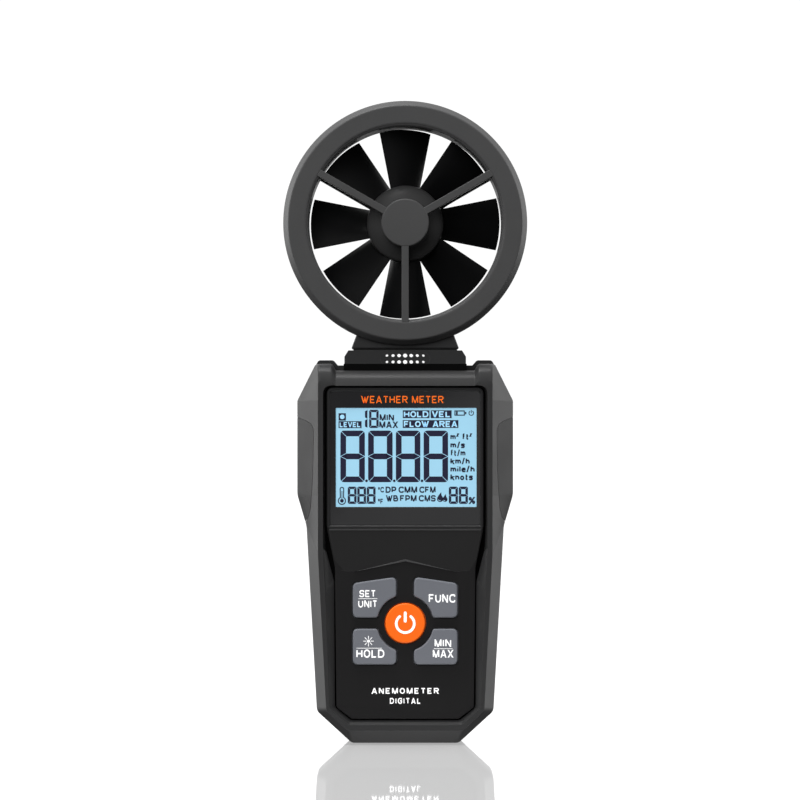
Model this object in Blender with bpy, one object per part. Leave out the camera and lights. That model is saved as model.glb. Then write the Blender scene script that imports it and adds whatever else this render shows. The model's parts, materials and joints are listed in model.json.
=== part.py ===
"""Handheld weather meter: a vane head on a vented neck, and a body with a display and five keys.

It stands upright: +Z up, the front faces -Y, +X is to its right. The origin is the middle of its base.
"""
from math import asin, atan2, cos, pi, radians, sin, sqrt

import bmesh
import bpy
from mathutils import Matrix, Vector

MM = 0.001
GAP = 0.3 * MM                 # room left between neighbouring pieces
ROUND_STEPS = 64               # sides of the large round parts
SMALL_STEPS = 20               # sides of shafts and bearings
SCREW_STEPS = 16               # sides of screws and their holes
PAST = 1.0 * MM                # how far a cutter runs past the face it opens

# head
HEAD_Z = 170.1 * MM            # height of the vane's axis
RING_RADIUS = 39.9 * MM
RING_FACE_RADIUS = 38.1 * MM   # outer edge of the flat front face
MOUTH_RADIUS = 32.4 * MM
THROAT_RADIUS = 31.6 * MM
HEAD_HALF_DEPTH = 14.0 * MM
HALF_GAP = 0.15 * MM           # each half's distance from the parting plane
SPOKE_WIDTH = 2.35 * MM
SPOKE_ANGLES = (30, 150, 270)
CAP_RADIUS = 7.8 * MM
FRONT_SPOKE_BACK = -8.2 * MM
REAR_SPOKE_FRONT = 6.5 * MM
REAR_SPOKE_BACK = 12.0 * MM
REAR_HUB_RADIUS = 9.0 * MM
BEARING_RADIUS = 2.5 * MM
SHAFT_RADIUS = 1.0 * MM
BLADES = 8
BLADE_TIP = 30.9 * MM
BLADE_ROOT = 11.9 * MM
BLADE_HALF_DEPTH = 4.2 * MM
BLADE_THICKNESS = 1.1 * MM
HUB_RADIUS = 12.6 * MM
MAGNET_OFFSET = 6.0 * MM
HEAD_SCREW_RADIUS = 35.8 * MM  # from the vane's axis
HEAD_SCREW_ANGLES = (90, 210, 330)
COLLAR_TOP_HALF = 15.6 * MM
COLLAR_FOOT_HALF = 17.7 * MM
COLLAR_TOP = 134.5 * MM        # inside the ring's wall

# neck
NECK_HALF_DEPTH = 9.5 * MM
NECK_HALF = 19.9 * MM
NECK_WALL = 1.6 * MM
NECK_FOOT = 113.0 * MM
NECK_TOP = 128.45 * MM
NECK_EASE = 0.8 * MM
COLLAR_FOOT = 128.9 * MM
VENT_RADIUS = 0.6 * MM
VENT_COLUMNS = 7
VENT_PITCH = 2.0 * MM
VENT_ROWS = (124.6 * MM, 126.8 * MM)

# body
FRONT = -18.0 * MM
BACK = 18.0 * MM
SIDE_FRONT = -9.4 * MM         # where the sloping sides reach the full width
FRAME_BACK = -0.15 * MM
CASE_FRONT = 0.15 * MM
CASE_BEVEL = 12.0 * MM
PANEL_FRONT = -17.2 * MM
PANEL_BACK = -15.4 * MM
PANEL_EDGE = 0.5 * MM
LENS_FRONT = -17.0 * MM
LENS_BACK = -16.2 * MM
LENS_HALF = 24.5 * MM
LENS_FOOT = 71.9 * MM
LENS_TOP = 114.9 * MM
WINDOW_HALF = 22.9 * MM
WINDOW_FOOT = 77.4 * MM
WINDOW_TOP = 109.7 * MM
BOARD_FRONT = -8.6 * MM
BOARD_BACK = -7.0 * MM
WAIST_Z = 81.2 * MM            # where the body reaches its full width
WAIST_HALF = 35.3 * MM
WAIST_SLOPE = 3.0 / 10.2       # how fast the sides come in below the waist
SHOULDER_Z = 112.5 * MM

# grips, one let into each side of the body
GRIP_FOOT = 74.0 * MM
GRIP_TOP = 105.8 * MM
GRIP_EDGE = 30.6 * MM          # how far from the middle its front edge lies
GRIP_THICKNESS = 2.4 * MM
GRIP_BACK = 9.0 * MM
GRIP_CUT = 3.6 * MM            # how far the grip's cutter runs past the side of the body

# keys
KEY_FRONT = -18.0 * MM
KEY_EDGE = 0.5 * MM
FLANGE_FRONT = -15.1 * MM
FLANGE_BACK = -14.3 * MM
FLANGE_LIP = 0.7 * MM
KEY_GAP = 0.35 * MM
POWER_Z = 39.6 * MM
POWER_RADIUS = 6.5 * MM
SWITCH_RADIUS = 3.2 * MM
STEM_RADIUS = 1.7 * MM
MAT_HOLE_RADIUS = 2.6 * MM
KEY_ARC = 9.2 * MM             # radius of the arc that clears the power key
KEY_INNER = 2.85 * MM
KEY_OUTER = 17.05 * MM
KEY_CORNER = 1.1 * MM

# battery
BAY_HALF = 14.3 * MM
BAY_FOOT = 17.0 * MM
BAY_TOP = 73.0 * MM
BAY_FRONT = -2.8 * MM
BAY_WALL = 1.4 * MM
DOOR_HALF = 17.0 * MM
DOOR_FOOT = 9.6 * MM
DOOR_TOP = 78.0 * MM
DOOR_FRONT = 15.3 * MM
DOOR_SCREW_Z = 13.4 * MM
BATTERY_HALF = 13.2 * MM
BATTERY_FOOT = 17.4 * MM
BATTERY_TOP = 63.8 * MM
BATTERY_FRONT = -2.4 * MM
BATTERY_BACK = 14.9 * MM
TERMINAL_RADIUS = 2.9 * MM
TERMINAL_X = 6.4 * MM
TERMINAL_Y = 6.2 * MM
TRIPOD_Z = 92.0 * MM
TRIPOD_RADIUS = 4.6 * MM

CASE_SCREWS = {
    "case_screw_top_left": (-26.0 * MM, 116.6 * MM),
    "case_screw_top_right": (26.0 * MM, 116.6 * MM),
    "case_screw_bottom_left": (-22.2 * MM, 17.0 * MM),
    "case_screw_bottom_right": (22.2 * MM, 17.0 * MM),
}

# half outlines (x, z) of the body in millimetres, from the base up the right side to the top
SILHOUETTE = [(17.5, 0), (28.9, 10.4), (32.3, 71), (35.3, 81.2), (35.3, 112), (28.6, 125.3), (23.7, 125.3),
              (22.25, 123.6)]
FRAME_OUTLINE = [(17.5, 0), (28.9, 10.4), (32.3, 71), (35.3, 81.2), (35.3, 112), (29.3, 124), (23.9, 124),
                 (22.7, 122.3)]
FRAME_FACE = [(18.8, 4.7), (25.7, 11.2), (28.4, 62), (28.4, 81.2), (28.4, 112), (28.4, 118.6), (23.9, 118.6),
              (22.7, 117.1)]
CASE_FACE = [(17.0, 2.0), (26.4, 9.8), (29.4, 71), (31.6, 81.2), (31.6, 111), (26.4, 121.4), (23.4, 121.4),
             (22.25, 120.4)]
PANEL_OUTLINE = [(17.4, 8.4), (22.4, 12.2), (22.9, 57.7), (25.4, 70), (25.6, 72), (25.6, 116.3)]
PANEL_SEAT = [(16.9, 9.6), (21.5, 13), (21.8, 57), (24.3, 70), (24.9, 72), (24.9, 115.2)]
BOARD_CAVITY = [(18.4, 10), (18.4, 24.5), (24.6, 27), (24.8, 70), (27.5, 84), (27.5, 108), (24.9, 113),
                (12, 113)]
BOARD_OUTLINE = [(17.6, 13.5), (17.6, 26), (23.8, 29), (23.8, 106), (20.5, 110.5)]

COLOURS = {
    "grey_rubber": ((0.11, 0.11, 0.115), 0.62, 0.0),
    "dark_plastic": ((0.055, 0.055, 0.058), 0.5, 0.0),
    "black_plastic": ((0.012, 0.012, 0.013), 0.35, 0.0),
    "panel": ((0.02, 0.02, 0.022), 0.4, 0.0),
    "key_grey": ((0.17, 0.175, 0.19), 0.5, 0.0),
    "power_orange": ((0.95, 0.16, 0.01), 0.4, 0.0),
    "lens": ((0.02, 0.02, 0.025), 0.08, 0.0),
    "lcd": ((0.4, 0.7, 0.85), 0.15, 0.0),
    "white_plastic": ((0.75, 0.76, 0.78), 0.35, 0.0),
    "board_green": ((0.02, 0.16, 0.06), 0.45, 0.0),
    "steel": ((0.55, 0.55, 0.56), 0.3, 1.0),
    "brass": ((0.75, 0.55, 0.22), 0.3, 1.0),
    "rubber_black": ((0.015, 0.015, 0.015), 0.7, 0.0),
    "red_insulation": ((0.6, 0.02, 0.02), 0.5, 0.0),
    "battery_skin": ((0.03, 0.03, 0.05), 0.35, 0.2),
}


# ---------------------------------------------------------------- helpers

def clear_scene():
    for old in list(bpy.data.objects):
        bpy.data.objects.remove(old, do_unlink=True)


def material(name):
    found = bpy.data.materials.get(name)
    if found:
        return found
    colour, roughness, metallic = COLOURS[name]
    made = bpy.data.materials.new(name)
    made.use_nodes = True
    shader = made.node_tree.nodes["Principled BSDF"]
    shader.inputs["Base Color"].default_value = (*colour, 1)
    shader.inputs["Roughness"].default_value = roughness
    shader.inputs["Metallic"].default_value = metallic
    return made


def show(name, mesh_builder, look, place=(0, 0, 0), parent=None):
    """Turn a bmesh into a named object whose origin is at place (in its parent's space)."""
    bmesh.ops.remove_doubles(mesh_builder, verts=mesh_builder.verts, dist=1e-6)
    bmesh.ops.recalc_face_normals(mesh_builder, faces=mesh_builder.faces)
    mesh = bpy.data.meshes.new(name)
    mesh_builder.to_mesh(mesh)
    mesh_builder.free()
    mesh.shade_smooth()
    mesh.set_sharp_from_angle(angle=radians(32))
    made = bpy.data.objects.new(name, mesh)
    bpy.context.scene.collection.objects.link(made)
    made.location = place
    made.parent = parent
    if look:
        mesh.materials.append(material(look))
    return made


def tool(name, mesh_builder, place=(0, 0, 0)):
    """A hidden helper solid that other pieces are joined to or cut with."""
    made = show("tool_" + name, mesh_builder, None, place)
    made.hide_render = True
    made.display_type = "WIRE"
    return made


def apply_tool(target, helper, operation):
    change = target.modifiers.new(operation.lower(), "BOOLEAN")
    change.operation = operation
    change.object = helper
    change.solver = "EXACT"


def cut(target, *helpers):
    for helper in helpers:
        apply_tool(target, helper, "DIFFERENCE")


def join(target, *helpers):
    for helper in helpers:
        apply_tool(target, helper, "UNION")


def empty(name, place):
    made = bpy.data.objects.new(name, None)
    bpy.context.scene.collection.objects.link(made)
    made.location = place
    return made


def mirrored(half):
    """A whole outline in metres from its right half in millimetres."""
    right = [(x * MM, z * MM) for x, z in half]
    return right + [(-x, z) for x, z in reversed(right)]


def rectangle(half_width, foot, top):
    return [(half_width, foot), (half_width, top), (-half_width, top), (-half_width, foot)]


def circle(radius, steps, centre=(0, 0)):
    turns = [2 * pi * i / steps for i in range(steps)]
    return [(centre[0] + radius * cos(a), centre[1] + radius * sin(a)) for a in turns]


def between(first, second, share):
    return [(a[0] + (b[0] - a[0]) * share, a[1] + (b[1] - a[1]) * share) for a, b in zip(first, second)]


def grown(outline, distance):
    """The outline with every side moved outwards by distance; it runs anticlockwise in x and z."""
    result = []
    count = len(outline)
    for i, corner in enumerate(outline):
        before = Vector(corner) - Vector(outline[i - 1])
        after = Vector(outline[(i + 1) % count]) - Vector(corner)
        normal_before = Vector((before.y, -before.x)).normalized()
        normal_after = Vector((after.y, -after.x)).normalized()
        middle = (normal_before + normal_after).normalized()
        reach = distance / max(middle.dot(normal_after), 0.4)
        result.append(tuple(Vector(corner) + middle * reach))
    return result


def rounded(outline, radius, steps=3):
    """The outline with each corner replaced by an arc."""
    result = []
    count = len(outline)
    for i, corner in enumerate(outline):
        here = Vector(corner)
        to_last = (Vector(outline[i - 1]) - here)
        to_next = (Vector(outline[(i + 1) % count]) - here)
        angle = to_last.angle(to_next)
        if angle > radians(165):
            result.append(corner)
            continue
        back = min(radius / (sin(angle / 2) / cos(angle / 2)), to_last.length * 0.45, to_next.length * 0.45)
        start = here + to_last.normalized() * back
        end = here + to_next.normalized() * back
        for k in range(steps + 1):
            t = k / steps
            point = start * (1 - t) ** 2 + here * (2 * t * (1 - t)) + end * t ** 2
            result.append((point.x, point.y))
    return result


def loft(sections):
    """A closed solid through outlines at given depths: [(y, outline), ...], all with the same points."""
    shape = bmesh.new()
    rings = [[shape.verts.new((x, y, z)) for x, z in outline] for y, outline in sections]
    for ring, following in zip(rings, rings[1:]):
        for i in range(len(ring)):
            j = (i + 1) % len(ring)
            shape.faces.new((ring[i], ring[j], following[j], following[i]))
    shape.faces.new(list(reversed(rings[0])))
    shape.faces.new(rings[-1])
    return shape


def prism(outline, front, back):
    return loft([(front, outline), (back, outline)])


def block(x_low, x_high, y_low, y_high, z_low, z_high):
    return prism([(x_high, z_low), (x_high, z_high), (x_low, z_high), (x_low, z_low)], y_low, y_high)


def turned(profile, steps=SMALL_STEPS):
    """A solid turned about the Y axis from a closed profile of (radius, y) points."""
    shape = bmesh.new()
    columns = []
    for radius, y in profile:
        if radius == 0:
            columns.append([shape.verts.new((0, y, 0))] * steps)
            continue
        columns.append([shape.verts.new((x, y, z)) for x, z in circle(radius, steps)])
    for a, b in zip(columns, columns[1:] + columns[:1]):
        for i in range(steps):
            j = (i + 1) % steps
            corners = [a[i], a[j], b[j], b[i]]
            corners = [c for n, c in enumerate(corners) if c not in corners[:n]]
            if len(corners) > 2:
                shape.faces.new(corners)
    return shape


def rod(radius, front, back, steps=SMALL_STEPS):
    return turned([(0, front), (radius, front), (radius, back), (0, back)], steps)


def stepped(narrow, wide, front, step, back):
    """A screw, or the hole for one: the narrow shank runs from front to step, and the head to back."""
    return turned([(0, front), (narrow, front), (narrow, step), (wide, step), (wide, back), (0, back)],
                  SCREW_STEPS)


def tube_shape(radius, bore, front, back, steps=SMALL_STEPS):
    return turned([(bore, front), (radius, front), (radius, back), (bore, back)], steps)


def polar(radius, degrees, height=HEAD_Z):
    return (radius * cos(radians(degrees)), 0, height + radius * sin(radians(degrees)))


def lead(name, look, radius, route):
    """A wire with filled ends along a smooth curve through the route's points."""
    points = [Vector(p) * MM for p in route]
    padded = [points[0] * 2 - points[1]] + points + [points[-1] * 2 - points[-2]]
    path = []
    for a, b, c, d in zip(padded, padded[1:], padded[2:], padded[3:]):
        for k in range(4):
            t = k / 4
            path.append(0.5 * (2 * b + (c - a) * t + (2 * a - 5 * b + 4 * c - d) * t ** 2
                               + (3 * b - a - 3 * c + d) * t ** 3))
    path.append(points[-1])
    curve = bpy.data.curves.new(name, "CURVE")
    curve.dimensions = "3D"
    curve.bevel_depth = radius
    curve.bevel_resolution = 2
    curve.use_fill_caps = True
    spline = curve.splines.new("POLY")
    spline.points.add(len(path) - 1)
    for knot, point in zip(spline.points, path):
        knot.co = (*point, 1)
    curve.materials.append(material(look))
    made = bpy.data.objects.new(name, curve)
    bpy.context.scene.collection.objects.link(made)
    return made


# ---------------------------------------------------------------- head

def ring_half(side):
    """Half of the head's ring, the front one for side -1 and the rear one for side 1."""
    profile = [(RING_RADIUS, HALF_GAP), (RING_RADIUS, 12.2 * MM), (RING_FACE_RADIUS, HEAD_HALF_DEPTH),
               (MOUTH_RADIUS, HEAD_HALF_DEPTH), (THROAT_RADIUS, 13.2 * MM), (THROAT_RADIUS, HALF_GAP)]
    return turned([(radius, side * y) for radius, y in profile], ROUND_STEPS)


def spoke(degrees, front, back):
    reach = (CAP_RADIUS * 0.6, THROAT_RADIUS + 1.5 * MM)
    shape = block(reach[0], reach[1], front, back, -SPOKE_WIDTH / 2, SPOKE_WIDTH / 2)
    bmesh.ops.transform(shape, matrix=Matrix.Rotation(-radians(degrees), 4, "Y"), verts=shape.verts)
    return shape


def collar(side):
    """The trapezoid under the ring that meets the neck."""
    outline = [(-COLLAR_FOOT_HALF, COLLAR_FOOT), (COLLAR_FOOT_HALF, COLLAR_FOOT),
               (COLLAR_TOP_HALF, COLLAR_TOP), (-COLLAR_TOP_HALF, COLLAR_TOP)]
    return prism(outline, *sorted((side * HALF_GAP, side * NECK_HALF_DEPTH)))


def build_guards():
    axis = (0, 0, HEAD_Z)
    front = show("head_front_guard", ring_half(-1), "grey_rubber", axis)
    rear = show("head_rear_guard", ring_half(1), "grey_rubber", axis)
    join(front, tool("front_collar", collar(-1)))
    join(rear, tool("rear_collar", collar(1)))
    for degrees in SPOKE_ANGLES:
        front_spoke = spoke(degrees, -13.9 * MM, FRONT_SPOKE_BACK)
        rear_spoke = spoke(degrees, REAR_SPOKE_FRONT, REAR_SPOKE_BACK)
        join(front, tool(f"front_spoke_{degrees}", front_spoke, axis))
        join(rear, tool(f"rear_spoke_{degrees}", rear_spoke, axis))
    cap = turned([(0, -14 * MM), (7.4 * MM, -14 * MM), (CAP_RADIUS, -13.6 * MM), (CAP_RADIUS, -8.1 * MM),
                  (0, -8.1 * MM)], 32)
    join(front, tool("hub_cap", cap, axis))
    join(rear, tool("rear_hub", rod(REAR_HUB_RADIUS, 6.3 * MM, 12.3 * MM, 32), axis))
    seat = BEARING_RADIUS + GAP
    cut(front, tool("front_bearing_seat", rod(seat, -11.4 * MM, -7 * MM), axis))
    cut(rear, tool("rear_bearing_seat", rod(seat, 5 * MM, 9.6 * MM), axis))
    cut(rear, tool("sensor_pocket", block(-3.1 * MM, 3.1 * MM, 5 * MM, 8.1 * MM, -8.7 * MM, -3.4 * MM), axis))
    groove = block(-0.9 * MM, 0.9 * MM, 5 * MM, 8.2 * MM, 135 * MM, HEAD_Z - 8 * MM)
    cut(rear, tool("cable_groove", groove))
    cable_room = block(-0.9 * MM, 12.6 * MM, 3 * MM, 8.2 * MM, COLLAR_FOOT - PAST, 136.4 * MM)
    cut(rear, tool("cable_room", cable_room))
    for degrees in HEAD_SCREW_ANGLES:
        at = polar(HEAD_SCREW_RADIUS, degrees)
        hole = stepped(1.5 * MM, 2.5 * MM, -7 * MM, 11.7 * MM, HEAD_HALF_DEPTH + PAST)
        hole_tool = tool(f"head_screw_hole_{degrees}", hole, at)
        cut(front, hole_tool)
        cut(rear, hole_tool)
        screw = stepped(1.2 * MM, 2.2 * MM, -6.5 * MM, 12 * MM, 13.6 * MM)
        show(f"head_screw_{degrees}", screw, "steel", at)


def blade(degrees):
    """One pitched blade with straight edges that widen outwards and an arc at the tip."""
    stations, chords = 4, 3
    shape = bmesh.new()
    layers = []
    for side in (-1, 1):
        grid = []
        for i in range(stations + 1):
            reach = BLADE_ROOT + (BLADE_TIP - BLADE_ROOT) * i / stations
            half_chord = 4.6 * MM + 3.5 * MM * (reach - 11.7 * MM) / (18 * MM)
            row = []
            for k in range(chords + 1):
                t = 2 * k / chords - 1
                x, y = t * half_chord, t * BLADE_HALF_DEPTH
                out = sqrt(reach ** 2 - x ** 2)
                length = sqrt(half_chord ** 2 + BLADE_HALF_DEPTH ** 2)
                x += side * BLADE_THICKNESS / 2 * BLADE_HALF_DEPTH / length
                y -= side * BLADE_THICKNESS / 2 * half_chord / length
                row.append(shape.verts.new((x, y, out)))
            grid.append(row)
        layers.append(grid)
    for grid in layers:
        for i in range(stations):
            for k in range(chords):
                shape.faces.new((grid[i][k], grid[i + 1][k], grid[i + 1][k + 1], grid[i][k + 1]))
    low, high = layers
    rim = [(0, k) for k in range(chords)] + [(i, chords) for i in range(stations)]
    rim += [(stations, k) for k in range(chords, 0, -1)] + [(i, 0) for i in range(stations, 0, -1)]
    for (i, k), (m, n) in zip(rim, rim[1:] + rim[:1]):
        shape.faces.new((low[i][k], low[m][n], high[m][n], high[i][k]))
    bmesh.ops.transform(shape, matrix=Matrix.Rotation(radians(degrees), 4, "Y"), verts=shape.verts)
    return shape


def build_impeller():
    axis = empty("impeller_axis", (0, 0, HEAD_Z))
    bore = SHAFT_RADIUS + GAP
    hub = turned([(bore, -7.6 * MM), (7.4 * MM, -7.6 * MM), (8.4 * MM, -7.3 * MM), (12.1 * MM, -4.9 * MM),
                  (HUB_RADIUS, -4.2 * MM), (HUB_RADIUS, 5.8 * MM), (bore, 5.8 * MM)], 48)
    impeller = show("impeller", hub, "black_plastic", parent=axis)
    for i in range(BLADES):
        join(impeller, tool(f"blade_{i}", blade(i * 360 / BLADES), (0, 0, HEAD_Z)))
    magnet_seat = tool("magnet_seat", rod(1.8 * MM, 3.2 * MM, 7 * MM, 16), (0, 0, HEAD_Z - MAGNET_OFFSET))
    cut(impeller, magnet_seat)
    show("impeller_shaft", rod(SHAFT_RADIUS, -10.9 * MM, 9.1 * MM), "steel", parent=axis)
    show("pickup_magnet", rod(1.5 * MM, 3.5 * MM, 5.6 * MM, 16), "steel", (0, 0, -MAGNET_OFFSET), axis)
    centre = (0, 0, HEAD_Z)
    race = tube_shape(BEARING_RADIUS, SHAFT_RADIUS + GAP, -11.1 * MM, -8.7 * MM)
    show("front_bearing", race, "brass", centre)
    race = tube_shape(BEARING_RADIUS, SHAFT_RADIUS + GAP, 6.8 * MM, 9.3 * MM)
    show("rear_bearing", race, "brass", centre)
    sensor = block(-2.8 * MM, 2.8 * MM, 6.7 * MM, 7.7 * MM, -8.2 * MM, -3.7 * MM)
    show("head_sensor_board", sensor, "board_green", centre)


# ---------------------------------------------------------------- neck

def vent_holes():
    for row, height in enumerate(VENT_ROWS):
        for column in range(VENT_COLUMNS):
            x = (column - (VENT_COLUMNS - 1) / 2) * VENT_PITCH
            hole = rod(VENT_RADIUS, -NECK_HALF_DEPTH - PAST, NECK_HALF_DEPTH + PAST, 8)
            yield tool(f"vent_{row}_{column}", hole, (x, 0, height))


def build_neck():
    whole = [(NECK_HALF, NECK_FOOT), (NECK_HALF, 126.4 * MM), (18.6 * MM, NECK_TOP)]
    whole += [(-x, z) for x, z in reversed(whole)]
    eased = grown(whole, -NECK_EASE)
    front = show("neck_front_cover", loft([(-NECK_HALF_DEPTH, eased), (-NECK_HALF_DEPTH + NECK_EASE, whole),
                                           (-HALF_GAP, whole)]), "dark_plastic")
    rear = show("neck_rear_cover", loft([(HALF_GAP, whole), (NECK_HALF_DEPTH - NECK_EASE, whole),
                                         (NECK_HALF_DEPTH, eased)]), "dark_plastic")
    inside = NECK_HALF_DEPTH - NECK_WALL
    room = prism(rectangle(NECK_HALF - NECK_WALL, NECK_FOOT - PAST, 127.6 * MM), -inside, inside)
    room_tool = tool("neck_room", room)
    cut(front, room_tool)
    cut(rear, room_tool)
    for hole in vent_holes():
        cut(front, hole)
        cut(rear, hole)
    cable_gate = block(7.5 * MM, 13.5 * MM, 2 * MM, 7 * MM, 126 * MM, NECK_TOP + PAST)
    cut(rear, tool("cable_gate", cable_gate))
    board = block(-8 * MM, 8 * MM, -4.6 * MM, -3.6 * MM, 113.4 * MM, 122.8 * MM)
    show("humidity_board", board, "board_green")
    show("humidity_sensor", block(-1.6 * MM, 1.6 * MM, -6.1 * MM, -4.9 * MM, 119.4 * MM, 122.6 * MM),
         "white_plastic")
    lead("sensor_cable", "rubber_black", 0.5 * MM,
         [(0, 7.3, 161), (0, 7.3, 150), (0, 7.3, 141), (0, 7.2, 137), (2.4, 6.5, 133.8), (7.8, 5.2, 131.4),
          (10.4, 4.4, 127.5), (11, 3.2, 121), (8.5, -1, 114), (5, -5.2, 109.6), (4, -6.2, 107)])


# ---------------------------------------------------------------- body shells

def frame_sections():
    face, full = mirrored(FRAME_FACE), mirrored(FRAME_OUTLINE)
    sections = []
    for depth, side_share, top_share in ((FRONT, 0, 0), (-17.6 * MM, 0.02, 0.2), (-16.6 * MM, 0.16, 0.52),
                                         (-14.5 * MM, 0.4, 0.85), (-12 * MM, 0.7, 1), (SIDE_FRONT, 1, 1),
                                         (FRAME_BACK, 1, 1)):
        sides, tops = between(face, full, side_share), between(face, full, top_share)
        outline = [(side[0], top[1] if side[1] > SHOULDER_Z else side[1]) for side, top in zip(sides, tops)]
        sections.append((depth, outline))
    return sections


def grip_section(height, spread, past):
    """The grip's cross-section (x, y) at a height; spread grows its hidden sides and past its outer one."""
    half = WAIST_HALF - max(WAIST_Z - height, 0) * WAIST_SLOPE
    inner, edge = half - GRIP_THICKNESS - spread, GRIP_EDGE - spread
    return [(edge, -15.0 * MM - spread - past * 0.3), (half + past, -9.3 * MM - spread - past),
            (half + past, GRIP_BACK + spread + past * 0.3), (inner, GRIP_BACK + spread),
            (inner, -8.6 * MM), (edge, -13.1 * MM + spread)]


def grip_shape(side, spread=0.0, past=0.0):
    shape = bmesh.new()
    rings = []
    for height in (GRIP_FOOT - spread, WAIST_Z, GRIP_TOP + spread):
        rings.append([shape.verts.new((side * x, y, height)) for x, y in grip_section(height, spread, past)])
    for ring, following in zip(rings, rings[1:]):
        for i in range(len(ring)):
            j = (i + 1) % len(ring)
            shape.faces.new((ring[i], ring[j], following[j], following[i]))
    shape.faces.new(rings[0])
    shape.faces.new(rings[-1])
    return shape


def build_shells():
    frame = show("front_frame", loft(frame_sections()), "grey_rubber")
    full, back = mirrored(SILHOUETTE), mirrored(CASE_FACE)
    case = show("rear_case", loft([(CASE_FRONT, full), (CASE_BEVEL, full),
                                   (16.4 * MM, between(full, back, 0.6)), (BACK, back)]), "dark_plastic")
    panel_room = rounded(grown(mirrored(PANEL_OUTLINE), 0.45 * MM), 2.4 * MM)
    cut(frame, tool("panel_room", prism(panel_room, FRONT - PAST, -15.2 * MM)))
    cut(frame, tool("panel_seat", prism(mirrored(PANEL_SEAT), -16 * MM, -9 * MM)))
    cut(frame, tool("board_room", prism(mirrored(BOARD_CAVITY), -9.1 * MM, 0)))

    right = [(15.9, 26), (24.0, 28), (26.5, 71), (28, 84), (28, 108), (24.5, 112)]
    room = mirrored(right) + [(-15.9 * MM, 74.6 * MM), (15.9 * MM, 74.6 * MM)]
    cut(case, tool("case_room", prism(room, 0, 14 * MM)))
    slot_half = NECK_HALF_DEPTH + GAP
    slot_outline = rectangle(NECK_HALF + GAP, 111.5 * MM, 131 * MM)
    neck_slot = tool("neck_slot", prism(slot_outline, -slot_half, slot_half))
    cut(frame, neck_slot)
    cut(case, neck_slot)

    bay_front = BAY_FRONT - BAY_WALL
    bay_outline = rectangle(BAY_HALF + BAY_WALL, BAY_FOOT - BAY_WALL, BAY_TOP + BAY_WALL)
    join(case, tool("bay_block", prism(bay_outline, bay_front, 5 * MM)))
    join(case, tool("tripod_boss", rod(6.8 * MM, 7 * MM, 15 * MM, 24), (0, 0, TRIPOD_Z)))
    cut(case, tool("bay_room", prism(rectangle(BAY_HALF, BAY_FOOT, BAY_TOP), BAY_FRONT, BACK + PAST)))
    cut(case, tool("bay_notch", block(-6 * MM, 6 * MM, -1 * MM, 9 * MM, BAY_TOP - PAST, BAY_TOP + 2.4 * MM)))
    door_room = rounded(rectangle(DOOR_HALF + GAP, DOOR_FOOT - GAP, DOOR_TOP + GAP), 2.3 * MM)
    cut(case, tool("door_room", prism(door_room, DOOR_FRONT - GAP, BACK + PAST)))
    cut(case, tool("tripod_seat", rod(TRIPOD_RADIUS + GAP, 10.2 * MM, BACK + PAST, 24), (0, 0, TRIPOD_Z)))
    cut(case, tool("door_screw_hole", rod(1.6 * MM, 7.4 * MM, BACK, 16), (0, 0, DOOR_SCREW_Z)))

    for name, (x, z) in CASE_SCREWS.items():
        hole = stepped(1.6 * MM, 2.9 * MM, -9 * MM, 9 * MM, BACK + PAST)
        hole_tool = tool(name + "_hole", hole, (x, 0, z))
        cut(frame, hole_tool)
        cut(case, hole_tool)
        screw = stepped(1.3 * MM, 2.6 * MM, -8.6 * MM, 9.3 * MM, 11.2 * MM)
        show(name, screw, "steel", (x, 0, z))

    for name, side in (("left", -1), ("right", 1)):
        seat = tool(f"grip_seat_{name}", grip_shape(side, GAP, GRIP_CUT))
        cut(frame, seat)
        cut(case, seat)
        show(f"grip_{name}", grip_shape(side), "dark_plastic")

    groove = tool("gasket_groove", prism(grown(full, -2.7 * MM), -PAST, 1.4 * MM))
    cut(groove, tool("gasket_core", prism(grown(full, -4.5 * MM), -2 * PAST, 2 * PAST)))
    cut(case, groove)
    seal = show("case_gasket", prism(grown(full, -3.0 * MM), 0.15 * MM, 1.1 * MM), "rubber_black")
    cut(seal, tool("gasket_room", prism(grown(full, -4.2 * MM), -PAST, 2 * PAST)))
    cut(seal, tool("gasket_gate", block(-24 * MM, 24 * MM, -PAST, 2 * PAST, 110 * MM, 130 * MM)))


# ---------------------------------------------------------------- keys and panel

def key_outline(top, side):
    """A grey key's outline: straight sides, and an arc round the power key at its inner corner."""
    steps = 6
    near = 1.8 * MM                                  # from the power key's centre line to the key's long side
    reach_inner = sqrt(KEY_ARC ** 2 - KEY_INNER ** 2)
    start, end = atan2(reach_inner, KEY_INNER), asin(near / KEY_ARC)
    turns = [start + (end - start) * i / steps for i in range(steps + 1)]
    arc = [(KEY_ARC * cos(turn), KEY_ARC * sin(turn)) for turn in turns]
    if top:
        corners = [(KEY_OUTER, near), (KEY_OUTER, 13.0 * MM), (KEY_INNER, 15.1 * MM)]
    else:
        corners = [(KEY_OUTER, near), (KEY_OUTER, 13.45 * MM), (KEY_INNER, 13.45 * MM)]
    outline = [(x, z + POWER_Z) for x, z in corners + arc]
    if not top:
        outline = [(x, 2 * POWER_Z - z) for x, z in reversed(outline)]
    if side < 0:
        outline = [(-x, z) for x, z in reversed(outline)]
    return rounded(outline, KEY_CORNER)


def key_table():
    """Every key's name, outline and colour."""
    yield "power_key", circle(POWER_RADIUS, 40, (0, POWER_Z)), "power_orange"
    for row, top in (("top", True), ("bottom", False)):
        for column, side in (("left", -1), ("right", 1)):
            yield f"key_{row}_{column}", key_outline(top, side), "key_grey"


def centre_of(outline):
    xs, zs = [p[0] for p in outline], [p[1] for p in outline]
    return (min(xs) + max(xs)) / 2, (min(zs) + max(zs)) / 2


def moved(outline, x, z):
    return [(a - x, b - z) for a, b in outline]


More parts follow.
